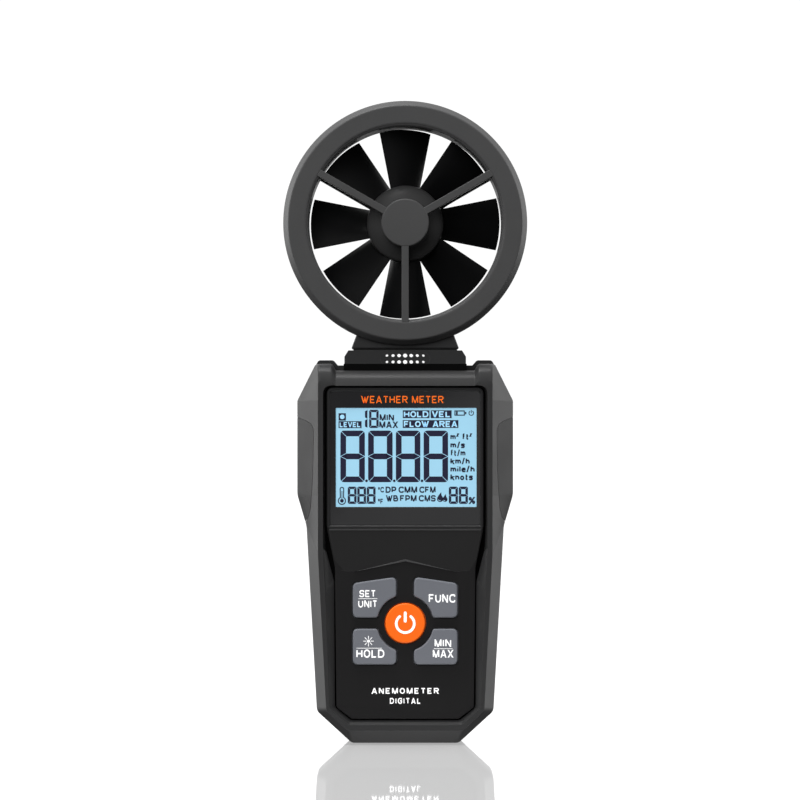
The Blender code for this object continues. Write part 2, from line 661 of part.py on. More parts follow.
def build_keys(panel):
    plate = show("keypad_membrane", prism(rectangle(19.6 * MM, 24.6 * MM, 56.4 * MM), -13.2 * MM, -12.4 * MM),
                 "rubber_black")
    for name, outline, look in key_table():
        x, z = centre_of(outline)
        local = moved(outline, x, z)
        eased, flange = grown(local, -KEY_EDGE), grown(local, FLANGE_LIP)
        cap = loft([(KEY_FRONT, eased), (KEY_FRONT + KEY_EDGE, local), (FLANGE_FRONT, local),
                    (FLANGE_FRONT, flange), (FLANGE_BACK, flange)])
        show(name, cap, look, (x, 0, z))
        opening = prism(grown(local, KEY_GAP), PANEL_FRONT - PAST, PANEL_BACK + PAST)
        cut(panel, tool(name + "_opening", opening, (x, 0, z)))
        cut(plate, tool(name + "_mat_hole", rod(MAT_HOLE_RADIUS, -14 * MM, -12 * MM, 16), (x, 0, z)))
        stem, body = circle(STEM_RADIUS, 12), circle(SWITCH_RADIUS, 12)
        switch = loft([(-13.2 * MM, stem), (-10.8 * MM, stem), (-10.8 * MM, body), (-8.9 * MM, body)])
        show("switch_" + name, switch, "black_plastic", (x, 0, z))


def build_panel():
    outline = rounded(mirrored(PANEL_OUTLINE), 2.4 * MM)
    panel = show("face_panel", loft([(PANEL_FRONT, grown(outline, -PANEL_EDGE)),
                                     (PANEL_FRONT + PANEL_EDGE, outline), (PANEL_BACK, outline)]), "panel")
    seat = prism(rectangle(LENS_HALF + GAP, LENS_FOOT - GAP, LENS_TOP + GAP), PANEL_FRONT - PAST, -15.9 * MM)
    cut(panel, tool("lens_seat", seat))
    cut(panel, tool("window", prism(rectangle(WINDOW_HALF, WINDOW_FOOT, WINDOW_TOP), -17 * MM, -14 * MM)))
    show("display_lens", prism(rectangle(LENS_HALF, LENS_FOOT, LENS_TOP), LENS_FRONT, LENS_BACK), "lens")
    return panel


def build_display():
    show("lcd_glass", prism(rectangle(23.4 * MM, 75.4 * MM, 111.4 * MM), -14.8 * MM, -13 * MM), "lcd")
    show("lcd_light_guide", prism(rectangle(23.2 * MM, 78 * MM, 111.2 * MM), -12.7 * MM, -10.9 * MM),
         "white_plastic")
    show("zebra_strip", block(-21 * MM, 21 * MM, -12.7 * MM, -8.9 * MM, 75.6 * MM, 77.4 * MM), "rubber_black")
    holder = show("lcd_holder", prism(rectangle(24.5 * MM, 74.2 * MM, 112.6 * MM), -15.0 * MM, -8.9 * MM),
                  "white_plastic")
    cut(holder, tool("lcd_room", prism(rectangle(23.7 * MM, 75.1 * MM, 111.7 * MM), -16 * MM, -10.5 * MM)))
    cut(holder, tool("zebra_slot", block(-21.4 * MM, 21.4 * MM, -11 * MM, -8 * MM, 75.2 * MM, 77.8 * MM)))


def build_electronics():
    show("main_board", prism(mirrored(BOARD_OUTLINE), BOARD_FRONT, BOARD_BACK), "board_green")
    show("processor_chip", block(-6 * MM, 6 * MM, -6.7 * MM, -5.3 * MM, 52 * MM, 64 * MM), "black_plastic")
    show("buzzer", rod(5 * MM, -6.7 * MM, -2.7 * MM), "black_plastic", (-13 * MM, 0, 94 * MM))


# ---------------------------------------------------------------- battery

def build_battery():
    cell = prism(rectangle(BATTERY_HALF, BATTERY_FOOT, BATTERY_TOP), BATTERY_FRONT, BATTERY_BACK)
    battery = show("battery_9v", cell, "battery_skin")
    for name, x in (("left", -TERMINAL_X), ("right", TERMINAL_X)):
        terminal = prism(circle(TERMINAL_RADIUS, 12), BATTERY_TOP - 1.8 * MM, BATTERY_TOP + 2 * MM)
        bmesh.ops.transform(terminal, matrix=Matrix.Rotation(pi / 2, 4, "X"), verts=terminal.verts)
        join(battery, tool(f"terminal_{name}", terminal, (x, TERMINAL_Y, 0)))
    show("battery_snap", block(-12.6 * MM, 12.6 * MM, 0, 12.6 * MM, 66.1 * MM, 69.2 * MM), "black_plastic")
    for name, look, side in (("battery_lead_red", "red_insulation", 1),
                             ("battery_lead_black", "rubber_black", -1)):
        lead(name, look, 0.6 * MM, [(side * 3.4, 6, 69.5), (side * 3.4, 6, 72), (side * 3.6, 4.6, 76.5),
                                    (side * 4.4, 0.5, 80.5), (side * 5.4, -4.2, 83), (side * 5.8, -6.2, 84)])
    door = show("battery_door", prism(rounded(rectangle(DOOR_HALF, DOOR_FOOT, DOOR_TOP), 2 * MM), DOOR_FRONT,
                                      BACK), "dark_plastic")
    hole = stepped(1.6 * MM, 2.8 * MM, DOOR_FRONT - PAST, 16.1 * MM, BACK + PAST)
    cut(door, tool("door_screw_seat", hole, (0, 0, DOOR_SCREW_Z)))
    screw = stepped(1.3 * MM, 2.4 * MM, 8 * MM, 16.4 * MM, 17.7 * MM)
    show("battery_door_screw", screw, "steel", (0, 0, DOOR_SCREW_Z))
    insert = tube_shape(TRIPOD_RADIUS, 3.1 * MM, 10.5 * MM, 17.8 * MM, 24)
    show("tripod_insert", insert, "brass", (0, 0, TRIPOD_Z))


def build():
    clear_scene()
    build_guards()
    build_impeller()
    build_neck()
    build_shells()
    build_keys(build_panel())
    build_display()
    build_electronics()
    build_battery()


build()
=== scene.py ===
"""Looks of the handheld weather meter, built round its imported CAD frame.

It stands upright: +Z up, the front faces -Y, +X is to the viewer's right. The pieces' shapes are made in
millimetres and piece() turns them into metres. The studio's lengths are in metres.
"""
import json
from math import acos, asin, cos, pi, radians, sin, sqrt, tan

import bmesh
import bpy
from mathutils import Matrix, Quaternion, Vector


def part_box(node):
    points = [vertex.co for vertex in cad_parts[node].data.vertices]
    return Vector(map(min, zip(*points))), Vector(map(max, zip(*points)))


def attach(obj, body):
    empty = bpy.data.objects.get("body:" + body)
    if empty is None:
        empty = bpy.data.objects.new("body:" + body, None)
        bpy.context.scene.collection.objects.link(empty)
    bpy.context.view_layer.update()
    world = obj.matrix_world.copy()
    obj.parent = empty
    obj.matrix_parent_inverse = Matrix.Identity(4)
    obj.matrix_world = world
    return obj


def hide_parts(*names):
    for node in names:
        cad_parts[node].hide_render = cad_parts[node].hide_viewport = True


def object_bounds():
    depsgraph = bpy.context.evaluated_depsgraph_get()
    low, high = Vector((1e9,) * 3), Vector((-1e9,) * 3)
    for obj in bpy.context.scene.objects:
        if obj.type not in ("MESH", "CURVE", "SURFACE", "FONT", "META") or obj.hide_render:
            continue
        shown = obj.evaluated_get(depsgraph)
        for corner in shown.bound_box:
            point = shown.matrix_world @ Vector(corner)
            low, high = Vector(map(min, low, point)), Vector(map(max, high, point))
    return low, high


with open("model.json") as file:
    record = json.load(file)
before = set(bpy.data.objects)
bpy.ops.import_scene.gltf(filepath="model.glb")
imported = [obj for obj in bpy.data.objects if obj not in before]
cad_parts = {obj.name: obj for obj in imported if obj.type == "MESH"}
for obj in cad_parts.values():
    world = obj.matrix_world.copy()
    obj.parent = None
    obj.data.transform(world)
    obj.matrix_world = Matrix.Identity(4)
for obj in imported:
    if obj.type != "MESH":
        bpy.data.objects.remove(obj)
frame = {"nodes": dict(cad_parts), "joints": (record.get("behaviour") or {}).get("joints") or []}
cad_low, cad_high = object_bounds()

MM = 0.001                          # metres in a millimetre
FINE = 192                          # sides of the ring
SMOOTH = 48                         # sides of small round parts
INK = 0.02                          # thickness of print and of the LCD's figures


def box(node):
    """A CAD node's lowest and highest corners, in millimetres."""
    return [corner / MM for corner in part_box(node)]


# driving places, read from the frame
vane_joint = next(j for j in frame["joints"] if j["name"] == "impeller_spin")
HEAD_Z = vane_joint["pos_m"][2] / MM
lens_low, lens_high = box("display_lens")
panel_low, panel_high = box("face_panel")
neck_low, neck_high = box("neck_front_cover")
NECK_DEPTH = -neck_low.y
FRONT = box("front_frame")[0].y
BACK = box("rear_case")[1].y
POWER_Z = sum(corner.z for corner in box("power_key")) / 2

THROAT_RADIUS = 31.6
CAP_RADIUS = 7.8
SPOKE_WIDTH = 2.35
SPOKE_ANGLES = (30, 150, 270)
BLADES = 8
SIDES = (("left", -1), ("right", 1))
SEAM = 0.15                         # half the gap between a front and a rear half
PANEL_FACE = panel_low.y + 0.25

# half outlines (x, z), from the base up the right side
BODY_SIDE = [(17.5, 0), (28.9, 10.4), (32.3, 71), (35.3, 81.2), (35.3, 112)]
SILHOUETTE = BODY_SIDE + [(28.6, 125.3), (23.7, 125.3), (22.25, 123.6)]
FRAME_OUTLINE = BODY_SIDE + [(29.3, 124), (23.9, 124), (22.7, 121.8)]
FRAME_FACE = [(18.8, 4.7), (25.7, 11.2), (28.4, 62), (28.4, 81.2), (28.4, 112), (28.4, 118.6), (23.9, 118.6),
              (22.7, 116.8)]
CASE_FACE = [(17.0, 2.0), (26.4, 9.8), (29.4, 71), (31.6, 81.2), (31.6, 111), (26.4, 121.4), (23.4, 121.4),
             (22.25, 120.4)]
MOUTH_EDGE = [(18.3, 6.5), (24.7, 12.0), (26.1, 50), (26.8, 64), (26.8, 72), (26.8, 117.0)]
MOUTH_FOOT = [(17.7, 7.9), (22.95, 12.1), (23.2, 53), (25.9, 63.5), (26.3, 72), (26.2, 116.8)]
PANEL_OUTLINE = [(17.4, 8.4), (22.4, 12.2), (22.9, 57.7), (25.4, 70), (25.6, 72), (25.6, 116.3)]
GRIP_REGION = [(38, 72), (38, 107.2), (35.4, 106.6), (32.2, 105.3), (30.6, 104.3), (29.9, 102.4), (30.0, 94),
               (30.25, 86), (30.9, 77), (31.7, 74), (33.0, 72)]


# ---- shapes

def flipped(outline):
    """The outline's mirror image, left to right, running the same way round."""
    return [(-x, z) for x, z in reversed(outline)]


def mirrored(half):
    """A whole outline from its right half, which runs upwards."""
    return half + flipped(half)


def rectangle(x_low, x_high, z_low, z_high):
    return [(x_high, z_low), (x_high, z_high), (x_low, z_high), (x_low, z_low)]


def circle(radius, steps, centre=(0, 0)):
    return [(centre[0] + radius * cos(2 * pi * i / steps), centre[1] + radius * sin(2 * pi * i / steps))
            for i in range(steps)]


def between(first, second, share):
    return [(a[0] + (b[0] - a[0]) * share, a[1] + (b[1] - a[1]) * share) for a, b in zip(first, second)]


def grown(outline, distance):
    """The outline with every side moved outwards by distance; it runs anticlockwise."""
    result = []
    for i, corner in enumerate(outline):
        before = Vector(corner) - Vector(outline[i - 1])
        after = Vector(outline[(i + 1) % len(outline)]) - Vector(corner)
        normal_before = Vector((before.y, -before.x)).normalized()
        normal_after = Vector((after.y, -after.x)).normalized()
        middle = (normal_before + normal_after).normalized()
        result.append(tuple(Vector(corner) + middle * distance / max(middle.dot(normal_after), 0.4)))
    return result


def rounded(outline, radius, steps=5):
    """The outline with every corner replaced by an arc of the same number of points."""
    result = []
    for i, corner in enumerate(outline):
        here = Vector(corner)
        to_last = Vector(outline[i - 1]) - here
        to_next = Vector(outline[(i + 1) % len(outline)]) - here
        angle = min(to_last.angle(to_next), radians(178))
        reach = radius[i] if isinstance(radius, list) else radius
        if not reach:
            result.append(tuple(corner))
            continue
        back = min(reach / tan(angle / 2), to_last.length * 0.45, to_next.length * 0.45)
        start = here + to_last.normalized() * back
        end = here + to_next.normalized() * back
        for k in range(steps + 1):
            t = k / steps
            point = start * (1 - t) ** 2 + here * (2 * t * (1 - t)) + end * t ** 2
            result.append((point.x, point.y))
    return result


def ring_of(shape, outline, y):
    return [shape.verts.new((x, y, z)) for x, z in outline]


def skin(shape, rings):
    for ring, following in zip(rings, rings[1:]):
        for i in range(len(ring)):
            j = (i + 1) % len(ring)
            shape.faces.new((ring[i], ring[j], following[j], following[i]))


def loft(sections):
    shape = bmesh.new()
    rings = [ring_of(shape, outline, y) for y, outline in sections]
    skin(shape, rings)
    shape.faces.new(list(reversed(rings[0])))
    shape.faces.new(rings[-1])
    return shape


def prism(outline, front, back):
    return loft([(front, outline), (back, outline)])


def block(x_low, x_high, y_low, y_high, z_low, z_high):
    return prism(rectangle(x_low, x_high, z_low, z_high), y_low, y_high)


def turned(profile, steps=SMOOTH):
    """A solid turned about the Y axis from a closed profile of (radius, y) points."""
    shape = bmesh.new()
    columns = []
    for radius, y in profile:
        if radius == 0:
            columns.append([shape.verts.new((0, y, 0))] * steps)
        else:
            columns.append(ring_of(shape, circle(radius, steps), y))
    for a, b in zip(columns, columns[1:] + columns[:1]):
        for i in range(steps):
            corners = [a[i], a[(i + 1) % steps], b[(i + 1) % steps], b[i]]
            corners = [c for n, c in enumerate(corners) if c not in corners[:n]]
            if len(corners) > 2:
                shape.faces.new(corners)
    return shape


def rod(radius, front, back, steps=SMOOTH):
    return turned([(0, front), (radius, front), (radius, back), (0, back)], steps)


def tube(radius, bore, front, back):
    return turned([(bore, front), (radius, front), (radius, back), (bore, back)], FINE)


def moved(shape, x=0.0, y=0.0, z=0.0, turn=0.0):
    """The shape turned about the Y axis by an angle in degrees, then moved."""
    matrix = Matrix.Translation((x, y, z)) @ Matrix.Rotation(-radians(turn), 4, "Y")
    bmesh.ops.transform(shape, matrix=matrix, verts=shape.verts)
    return shape


def placed(name, data):
    made = bpy.data.objects.new(name, data)
    bpy.context.scene.collection.objects.link(made)
    return made


def meshed(name, shape):
    """A mesh made from the shape, which is used up."""
    mesh = bpy.data.meshes.new(name)
    shape.to_mesh(mesh)
    shape.free()
    return mesh


def merged(shapes):
    """Several closed shapes in one mesh."""
    whole = bmesh.new()
    for shape in shapes:
        mesh = meshed("part", shape)
        whole.from_mesh(mesh)
        bpy.data.meshes.remove(mesh)
    return whole


def scratch(shape):
    bmesh.ops.recalc_face_normals(shape, faces=shape.faces)
    return placed("scratch", meshed("scratch", shape))


def carve(base, *steps):
    """The base shape after boolean steps, each an (operation, shape) pair."""
    made = scratch(base)
    helpers = []
    for operation, shape in steps:
        helper = scratch(shape)
        change = made.modifiers.new("cut", "BOOLEAN")
        change.operation = operation
        change.object = helper
        change.solver = "EXACT"
        helpers.append(helper)
    bpy.context.view_layer.update()
    evaluated = made.evaluated_get(bpy.context.evaluated_depsgraph_get())
    mesh = bpy.data.meshes.new_from_object(evaluated)
    result = bmesh.new()
    result.from_mesh(mesh)
    for used in [made] + helpers:
        data = used.data
        bpy.data.objects.remove(used, do_unlink=True)
        bpy.data.meshes.remove(data)
    bpy.data.meshes.remove(mesh)
    return result


def cut(base, *shapes):
    return carve(base, *[("DIFFERENCE", shape) for shape in shapes])


def piece(name, shape, look, slot, stands_for=(), body="housing", bevel=0.0, segments=3, angle=30):
    """A visible piece of the object, with softened edges, riding on a body of the frame."""
    bmesh.ops.recalc_face_normals(shape, faces=shape.faces)
    mesh = meshed(name, shape)
    mesh.transform(Matrix.Scale(MM, 4))
    mesh.shade_smooth()
    made = placed(name, mesh)
    mesh.materials.append(look)
    if bevel:
        soft = made.modifiers.new("edges", "BEVEL")
        soft.width = bevel * MM
        soft.segments = segments
        soft.limit_method = "ANGLE"
        soft.angle_limit = radians(angle)
        soft.harden_normals = True
    else:
        mesh.set_sharp_from_angle(angle=radians(angle))
    flat_faces = made.modifiers.new("normals", "WEIGHTED_NORMAL")
    flat_faces.keep_sharp = True
    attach(made, body)
    if stands_for:
        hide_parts(*stands_for)
    return made


# ---- materials

def fill(tree, node, inputs):
    """Sets a node's inputs, each to a constant or to the output socket that feeds it."""
    for name, value in inputs.items():
        if isinstance(value, bpy.types.NodeSocket):
            tree.links.new(value, node.inputs[name])
        else:
            node.inputs[name].default_value = value


def add(tree, kind, inputs={}, **settings):
    """A new node of a node tree, with its settings and inputs."""
    node = tree.nodes.new("ShaderNode" + kind)
    for name, value in settings.items():
        setattr(node, name, value)
    fill(tree, node, inputs)
    return node


def tinted(colour, share):
    return (*[min(1, c * share) for c in colour], 1)


def moulded(name, colour, roughness, grain=0.35, depth=0.02, mottling=0.08, wear_and_highlight=0.0, specular=0.3,
            metallic=0.0, coat=0.0, glow=0.0):
    """A moulded surface: fine grain, uneven colour and roughness, and lighter edges, partly wear and partly a
    painted highlight.
    """
    made = bpy.data.materials.new(name)
    made.use_nodes = True
    tree = made.node_tree
    place = add(tree, "TexCoord").outputs["Object"]

    def noise(size, detail):
        inputs = {"Scale": 1 / (size * MM), "Detail": detail, "Vector": place}
        return add(tree, "TexNoise", inputs).outputs["Fac"]

    def mixed(factor, first, second):
        inputs = {"Factor": factor, "A": first, "B": second}
        return add(tree, "Mix", inputs, data_type="RGBA").outputs["Result"]

    cloud = noise(14, 3)
    result = mixed(cloud, tinted(colour, 1 - mottling), tinted(colour, 1 + mottling))
    if wear_and_highlight:
        # an edge is where the rounded normal leaves the true one; its lighter colour is partly wear and
        # partly a painted highlight along the edge
        softened, true = add(tree, "Bevel", {"Radius": 0.3 * MM}), add(tree, "NewGeometry")
        turn = add(tree, "VectorMath", {0: softened.outputs["Normal"], 1: true.outputs["Normal"]},
                   operation="DOT_PRODUCT")
        edge = add(tree, "MapRange", {"Value": turn.outputs["Value"], "From Min": 0.995, "From Max": 0.8,
                                      "To Min": 0.0, "To Max": wear_and_highlight})
        result = mixed(edge.outputs["Result"], result, tinted([c + 0.05 for c in colour], 1.6))
    rough = add(tree, "MapRange", {"Value": cloud, "To Min": max(0.02, roughness - 0.07),
                                   "To Max": min(1, roughness + 0.07)})
    bump = add(tree, "Bump", {"Strength": 0.35, "Distance": depth * MM, "Height": noise(grain, 2)})
    shader = tree.nodes["Principled BSDF"]
    fill(tree, shader, {
        "Base Color": result, "Roughness": rough.outputs["Result"], "Normal": bump.outputs["Normal"],
        "Metallic": metallic, "Specular IOR Level": specular, "Coat Weight": coat, "Coat Roughness": 0.05})
    # glow makes the surface give light in its own colour: the LCD's backlight, and painted brightness on the
    # prints and the power key
    if glow:
        fill(tree, shader, {"Emission Color": result, "Emission Strength": glow})
    return made


# The edge lightening in these looks is partly wear and partly a painted highlight, strongest on the panel's
# bridge and the display's rim.
RUBBER = moulded("frame_rubber", (0.024, 0.024, 0.0245), 0.5, depth=0.03, wear_and_highlight=0.15, specular=0.45)
RING = moulded("ring_plastic", (0.052, 0.052, 0.0525), 0.48, grain=0.5, depth=0.05, mottling=0.12, wear_and_highlight=0.3,
               specular=0.4)
NECK = moulded("neck_plastic", (0.024, 0.024, 0.0245), 0.5, wear_and_highlight=0.3)
GRIP = moulded("grip_rubber", (0.020, 0.020, 0.0203), 0.55, grain=0.5, depth=0.05, wear_and_highlight=0.15, specular=0.35)
CASE = moulded("case_plastic", (0.024, 0.024, 0.0245), 0.55, grain=0.5, depth=0.05, wear_and_highlight=0.2)
BLADE = moulded("blade_plastic", (0.004, 0.004, 0.0042), 0.4, wear_and_highlight=0.05, specular=0.2)
HUB = moulded("hub_plastic", (0.030, 0.030, 0.0302), 0.4, wear_and_highlight=0.3)
PANEL = moulded("panel_plastic", (0.0115, 0.0112, 0.0115), 0.5, depth=0.01, wear_and_highlight=0.2, specular=0.2)
PANEL_BRIDGE = moulded("panel_bridge_plastic", (0.015, 0.0148, 0.015), 0.45, depth=0.01, wear_and_highlight=0.5,
                       specular=0.25)
PANEL_PAINTED_HIGHLIGHT = moulded("panel_highlight", (0.045, 0.045, 0.046), 0.4, depth=0.01, wear_and_highlight=0.3)
PANEL_RIM = moulded("panel_rim", (0.014, 0.014, 0.0145), 0.35, depth=0.01, wear_and_highlight=0.5)
# near-black pieces set in the gaps between parts: painted shade, where the gaps fall dark
GAP_SHADE_BLACK = moulded("painted_gap_shade", (0.003, 0.003, 0.003), 0.8, specular=0.05)
LENS = moulded("lens_gloss", (0.006, 0.006, 0.007), 0.06, grain=3, depth=0.002, specular=0.5)
LCD = moulded("lcd_backlight", (0.265, 0.49, 0.63), 0.2, grain=0.3, depth=0.002, mottling=0.03, glow=0.4)
SEGMENT = moulded("lcd_segment", (0.018, 0.018, 0.042), 0.3, depth=0.002, specular=0.2)
REVERSED = moulded("lcd_reversed", (0.32, 0.58, 0.76), 0.2, depth=0.002, mottling=0.04, glow=0.4)
KEY = moulded("key_plastic", (0.150, 0.157, 0.177), 0.5, depth=0.015, mottling=0.04)
# the power key and the prints glow a little: painted brightness, as they give no light
POWER = moulded("power_plastic", (0.95, 0.145, 0.008), 0.4, depth=0.01, mottling=0.05, glow=0.05)
PRINT = moulded("white_print", (0.9, 0.9, 0.9), 0.5, depth=0.004, mottling=0.02, glow=0.3)
ORANGE_PRINT = moulded("orange_print", (0.90, 0.16, 0.012), 0.45, depth=0.004, mottling=0.03, glow=0.2)
STEEL = moulded("screw_steel", (0.42, 0.42, 0.43), 0.3, grain=0.15, depth=0.01, metallic=1.0)
BRASS = moulded("turned_brass", (0.70, 0.50, 0.20), 0.28, grain=0.2, depth=0.01, metallic=1.0)
BLACK = moulded("black_part", (0.012, 0.012, 0.012), 0.5)
WHITE = moulded("white_part", (0.62, 0.63, 0.64), 0.4)
BOARD = moulded("solder_mask", (0.012, 0.13, 0.045), 0.35, grain=2, depth=0.02)
RED = moulded("red_sleeve", (0.5, 0.015, 0.015), 0.5)
BATTERY = moulded("battery_wrap", (0.02, 0.022, 0.035), 0.3, grain=1, coat=0.3)


# ---- lettering

# Each glyph is its width over its height, then its strokes. A stroke's points are pairs of digits on a grid 6
# across and 8 up, r rounds a corner, o closes the stroke, and / cuts a slanting stroke level at both ends.
GLYPHS = {
    "A": (0.74, "/00 38", "/60 38", "12 52"), "B": (0.66, "00 08 58r 54r 04", "54 64r 60r 00"),
    "C": (0.68, "66 68r 08r 00r 60r 62"), "D": (0.68, "o00 08 68r 60r"), "E": (0.6, "68 08 00 60", "04 54"),
    "F": (0.58, "68 08 00", "04 54"), "G": (0.7, "66 68r 08r 00r 60r 64 34"),
    "H": (0.66, "00 08", "60 68", "04 64"), "I": (0.0, "00 08"),
    "K": (0.66, "00 08", "/03 68", "/25 60"), "L": (0.54, "08 00 60"),
    "M": (0.8, "00 08", "/08 30", "/68 30", "60 68"), "N": (0.66, "00 08", "/08 60", "60 68"),
    "O": (0.7, "o00r 08r 68r 60r"), "P": (0.62, "00 08 68r 63r 03"),
    "R": (0.66, "00 08 68r 64r 04", "/34 60"), "S": (0.62, "66 68r 08r 04r 64r 60r 00r 02"),
    "T": (0.62, "08 68", "38 30"), "U": (0.66, "08 00r 60r 68"),
    "V": (0.7, "/08 30", "/68 30"), "W": (1.0, "/08 20", "/37 20", "/37 40", "/68 40"),
    "X": (0.68, "/00 68", "/08 60"), "m": (0.8, "00 05 35r 30", "35 65r 60"),
    "s": (0.46, "64 65r 05r 03r 63r 60r 00r 01"), "t": (0.34, "28 20r 60", "05 65"),
    "f": (0.34, "68 28r 20", "05 65"), "k": (0.5, "00 08", "/03 65", "/24 60"),
    "h": (0.5, "00 08", "05 65r 60"), "i": (0.0, "00 05", "07 08"), "l": (0.0, "00 08"),
    "e": (0.5, "03 63 65r 05r 00r 60r 61"), "n": (0.5, "00 05 65r 60"), "o": (0.5, "o00r 05r 65r 60r"),
    "/": (0.34, "/00 68"), "²": (0.24, "08 68 05 65"), "°": (0.26, "o05r 08r 68r 65r"),
    "%": (0.8, "/00 68", "o05r 08r 28r 25r", "o40r 43r 63r 60r"), " ": (0.12,),
}


def ribbon(points, half, y, thickness=INK, closed=False):
    """A flat band of constant width along a path."""
    shape = bmesh.new()
    rows = []
    count = len(points)
    for i, here in enumerate(points):
        before = points[i - 1] if closed or i else None
        after = points[(i + 1) % count] if closed or i < count - 1 else None
        normals = []
        for a, b in ((before, here), (here, after)):
            if a and b:
                run = Vector(b) - Vector(a)
                normals.append(Vector((-run.y, run.x)).normalized())
        middle = sum(normals, Vector((0, 0))).normalized()
        reach = middle * half / max(middle.dot(normals[0]), 0.5)
        row = []
        for side, depth in ((1, -1), (-1, -1), (-1, 1), (1, 1)):
            x, z = Vector(here) + reach * side
            row.append(shape.verts.new((x, y + depth * thickness / 2, z)))
        rows.append(row)
    for a, b in zip(rows, rows[1:] + rows[:1] if closed else rows[1:]):
        for k in range(4):
            shape.faces.new((a[k], a[(k + 1) % 4], b[(k + 1) % 4], b[k]))
    if not closed:
        shape.faces.new(rows[0])
        shape.faces.new(rows[-1])
    return shape


def letters(text, x, z, height, width, y, weight=0.215, gap=0.13):
    """Bold lettering facing -Y, centred on (x, z), with the given height and overall width."""
    half = weight / 2
    length = sum(GLYPHS[c][0] + weight + gap for c in text) - gap
    stretch = width / (length * height)
    shapes = []
    start = 0.0
    for character in text:
        size, *strokes = GLYPHS[character]
        for stroke in strokes:
            closed, level = stroke[0] == "o", stroke[0] == "/"
            points, corners = [], []
            for token in stroke.strip("o/").split():
                across, up = int(token[0]) / 6 * size, int(token[1]) / 8
                up = up if level else half + up * (1 - weight)
                points.append((start + half + across, up))
                corners.append(0.34 if token.endswith("r") else 0)
            if level:
                (low_x, low_z), (high_x, high_z) = sorted(points, key=lambda p: p[1])
                lean = half * sqrt(1 + ((high_x - low_x) / (high_z - low_z)) ** 2)
                outline = [(low_x - lean, low_z), (low_x + lean, low_z), (high_x + lean, high_z),
                           (high_x - lean, high_z)]
                shapes.append(flat(outline, y))
            else:
                path = rounded_path(points, corners, closed)
                shapes.append(ribbon(path, half, y, closed=closed))
        start += size + weight + gap
    whole = merged(shapes)
    for v in whole.verts:
        v.co.x = x + (v.co.x - length / 2) * height * stretch
        v.co.z = z + (v.co.z - 0.5) * height
    return whole


def rounded_path(points, corners, closed, steps=6):
    """A stroke's points, with its rounded corners turned into arcs."""
    result = []
    for i, corner in enumerate(points):
        if not corners[i] or (not closed and i in (0, len(points) - 1)):
            result.append(corner)
            continue
        here = Vector(corner)
        to_last = Vector(points[i - 1]) - here
        to_next = Vector(points[(i + 1) % len(points)]) - here
        reach = min(corners[i], to_last.length * 0.48, to_next.length * 0.48)
        start, end = here + to_last.normalized() * reach, here + to_next.normalized() * reach
        for k in range(steps + 1):
            t = k / steps
            weight = 0.62 * 2 * t * (1 - t)
            share = (1 - t) ** 2 + weight + t ** 2
            point = (start * (1 - t) ** 2 + here * weight + end * t ** 2) / share
            result.append((point.x, point.y))
    return result


def flat(outline, y, thickness=INK):
    return prism(outline, y - thickness / 2, y + thickness / 2)


def bar(x_low, x_high, z_low, z_high, y):
    return flat(rectangle(x_low, x_high, z_low, z_high), y)


def arc_band(x, z, inner, outer, start, end, y, steps=28):
    """A flat arc between two radii, from start to end degrees."""
    turns = [radians(start + (end - start) * i / steps) for i in range(steps + 1)]
    outline = [(x + outer * cos(a), z + outer * sin(a)) for a in turns]
    outline += [(x + inner * cos(a), z + inner * sin(a)) for a in reversed(turns)]
    return flat(outline, y)


# ---- head

def phillips(radius, depth):
    """The cross recess of a screw, cut from the back."""
    arm, width = radius * 0.62, radius * 0.17
    return [block(-arm, arm, -depth, depth, -width, width), block(-width, width, -depth, depth, -arm, arm)]


def screw(node, x, z, head_radius, head_y, length, body="housing"):
    """A pan-head screw seen from behind, in place of a CAD screw; its head's outer face is at head_y."""
    # each point's radius, as a share of the head's, and its depth below the head's outer face
    sizes = [(0, length), (0.5, length), (0.5, 1.6), (1, 1.6), (1, 0.5), (0.9, 0.15), (0.75, 0), (0, 0)]
    shape = turned([(head_radius * share, head_y - depth) for share, depth in sizes], 32)
    recess = [moved(part, y=head_y) for part in phillips(head_radius, 1.0)]
    name = "door_screw_fine" if body == "door" else node + "_fine"
    piece(name, moved(cut(shape, *recess), x=x, z=z), STEEL, "steel", [node], body)


def guard_ring(side):
    """Half of the ring: outer band, chamfer, flat face and a mouth that is flared at the back."""
    profile = [(39.9, 0.15), (39.9, 10.9), (39.75, 11.3), (38.45, 13.5), (38.2, 13.8), (37.9, 13.9),
               (37.6, 13.9), (32.9, 13.9), (32.5, 13.8), (32.25, 13.5)]
    profile += [(31.9, 13.3), (31.6, 12.9)] if side < 0 else [(32.1, 12.9), (31.6, 4.0)]
    profile.append((31.6, 0.15))
    return turned([(r, side * y) for r, y in profile], FINE)


def spoke(degrees, front, back):
    shape = block(CAP_RADIUS * 0.5, THROAT_RADIUS + 0.9, front, back, -SPOKE_WIDTH / 2, SPOKE_WIDTH / 2)
    return moved(shape, z=HEAD_Z, turn=degrees)


def collar(side):
    outline = [(-17.7, 128.9), (17.7, 128.9), (15.6, 134.5), (-15.6, 134.5)]
    return prism(outline, *sorted((side * SEAM, side * NECK_DEPTH)))


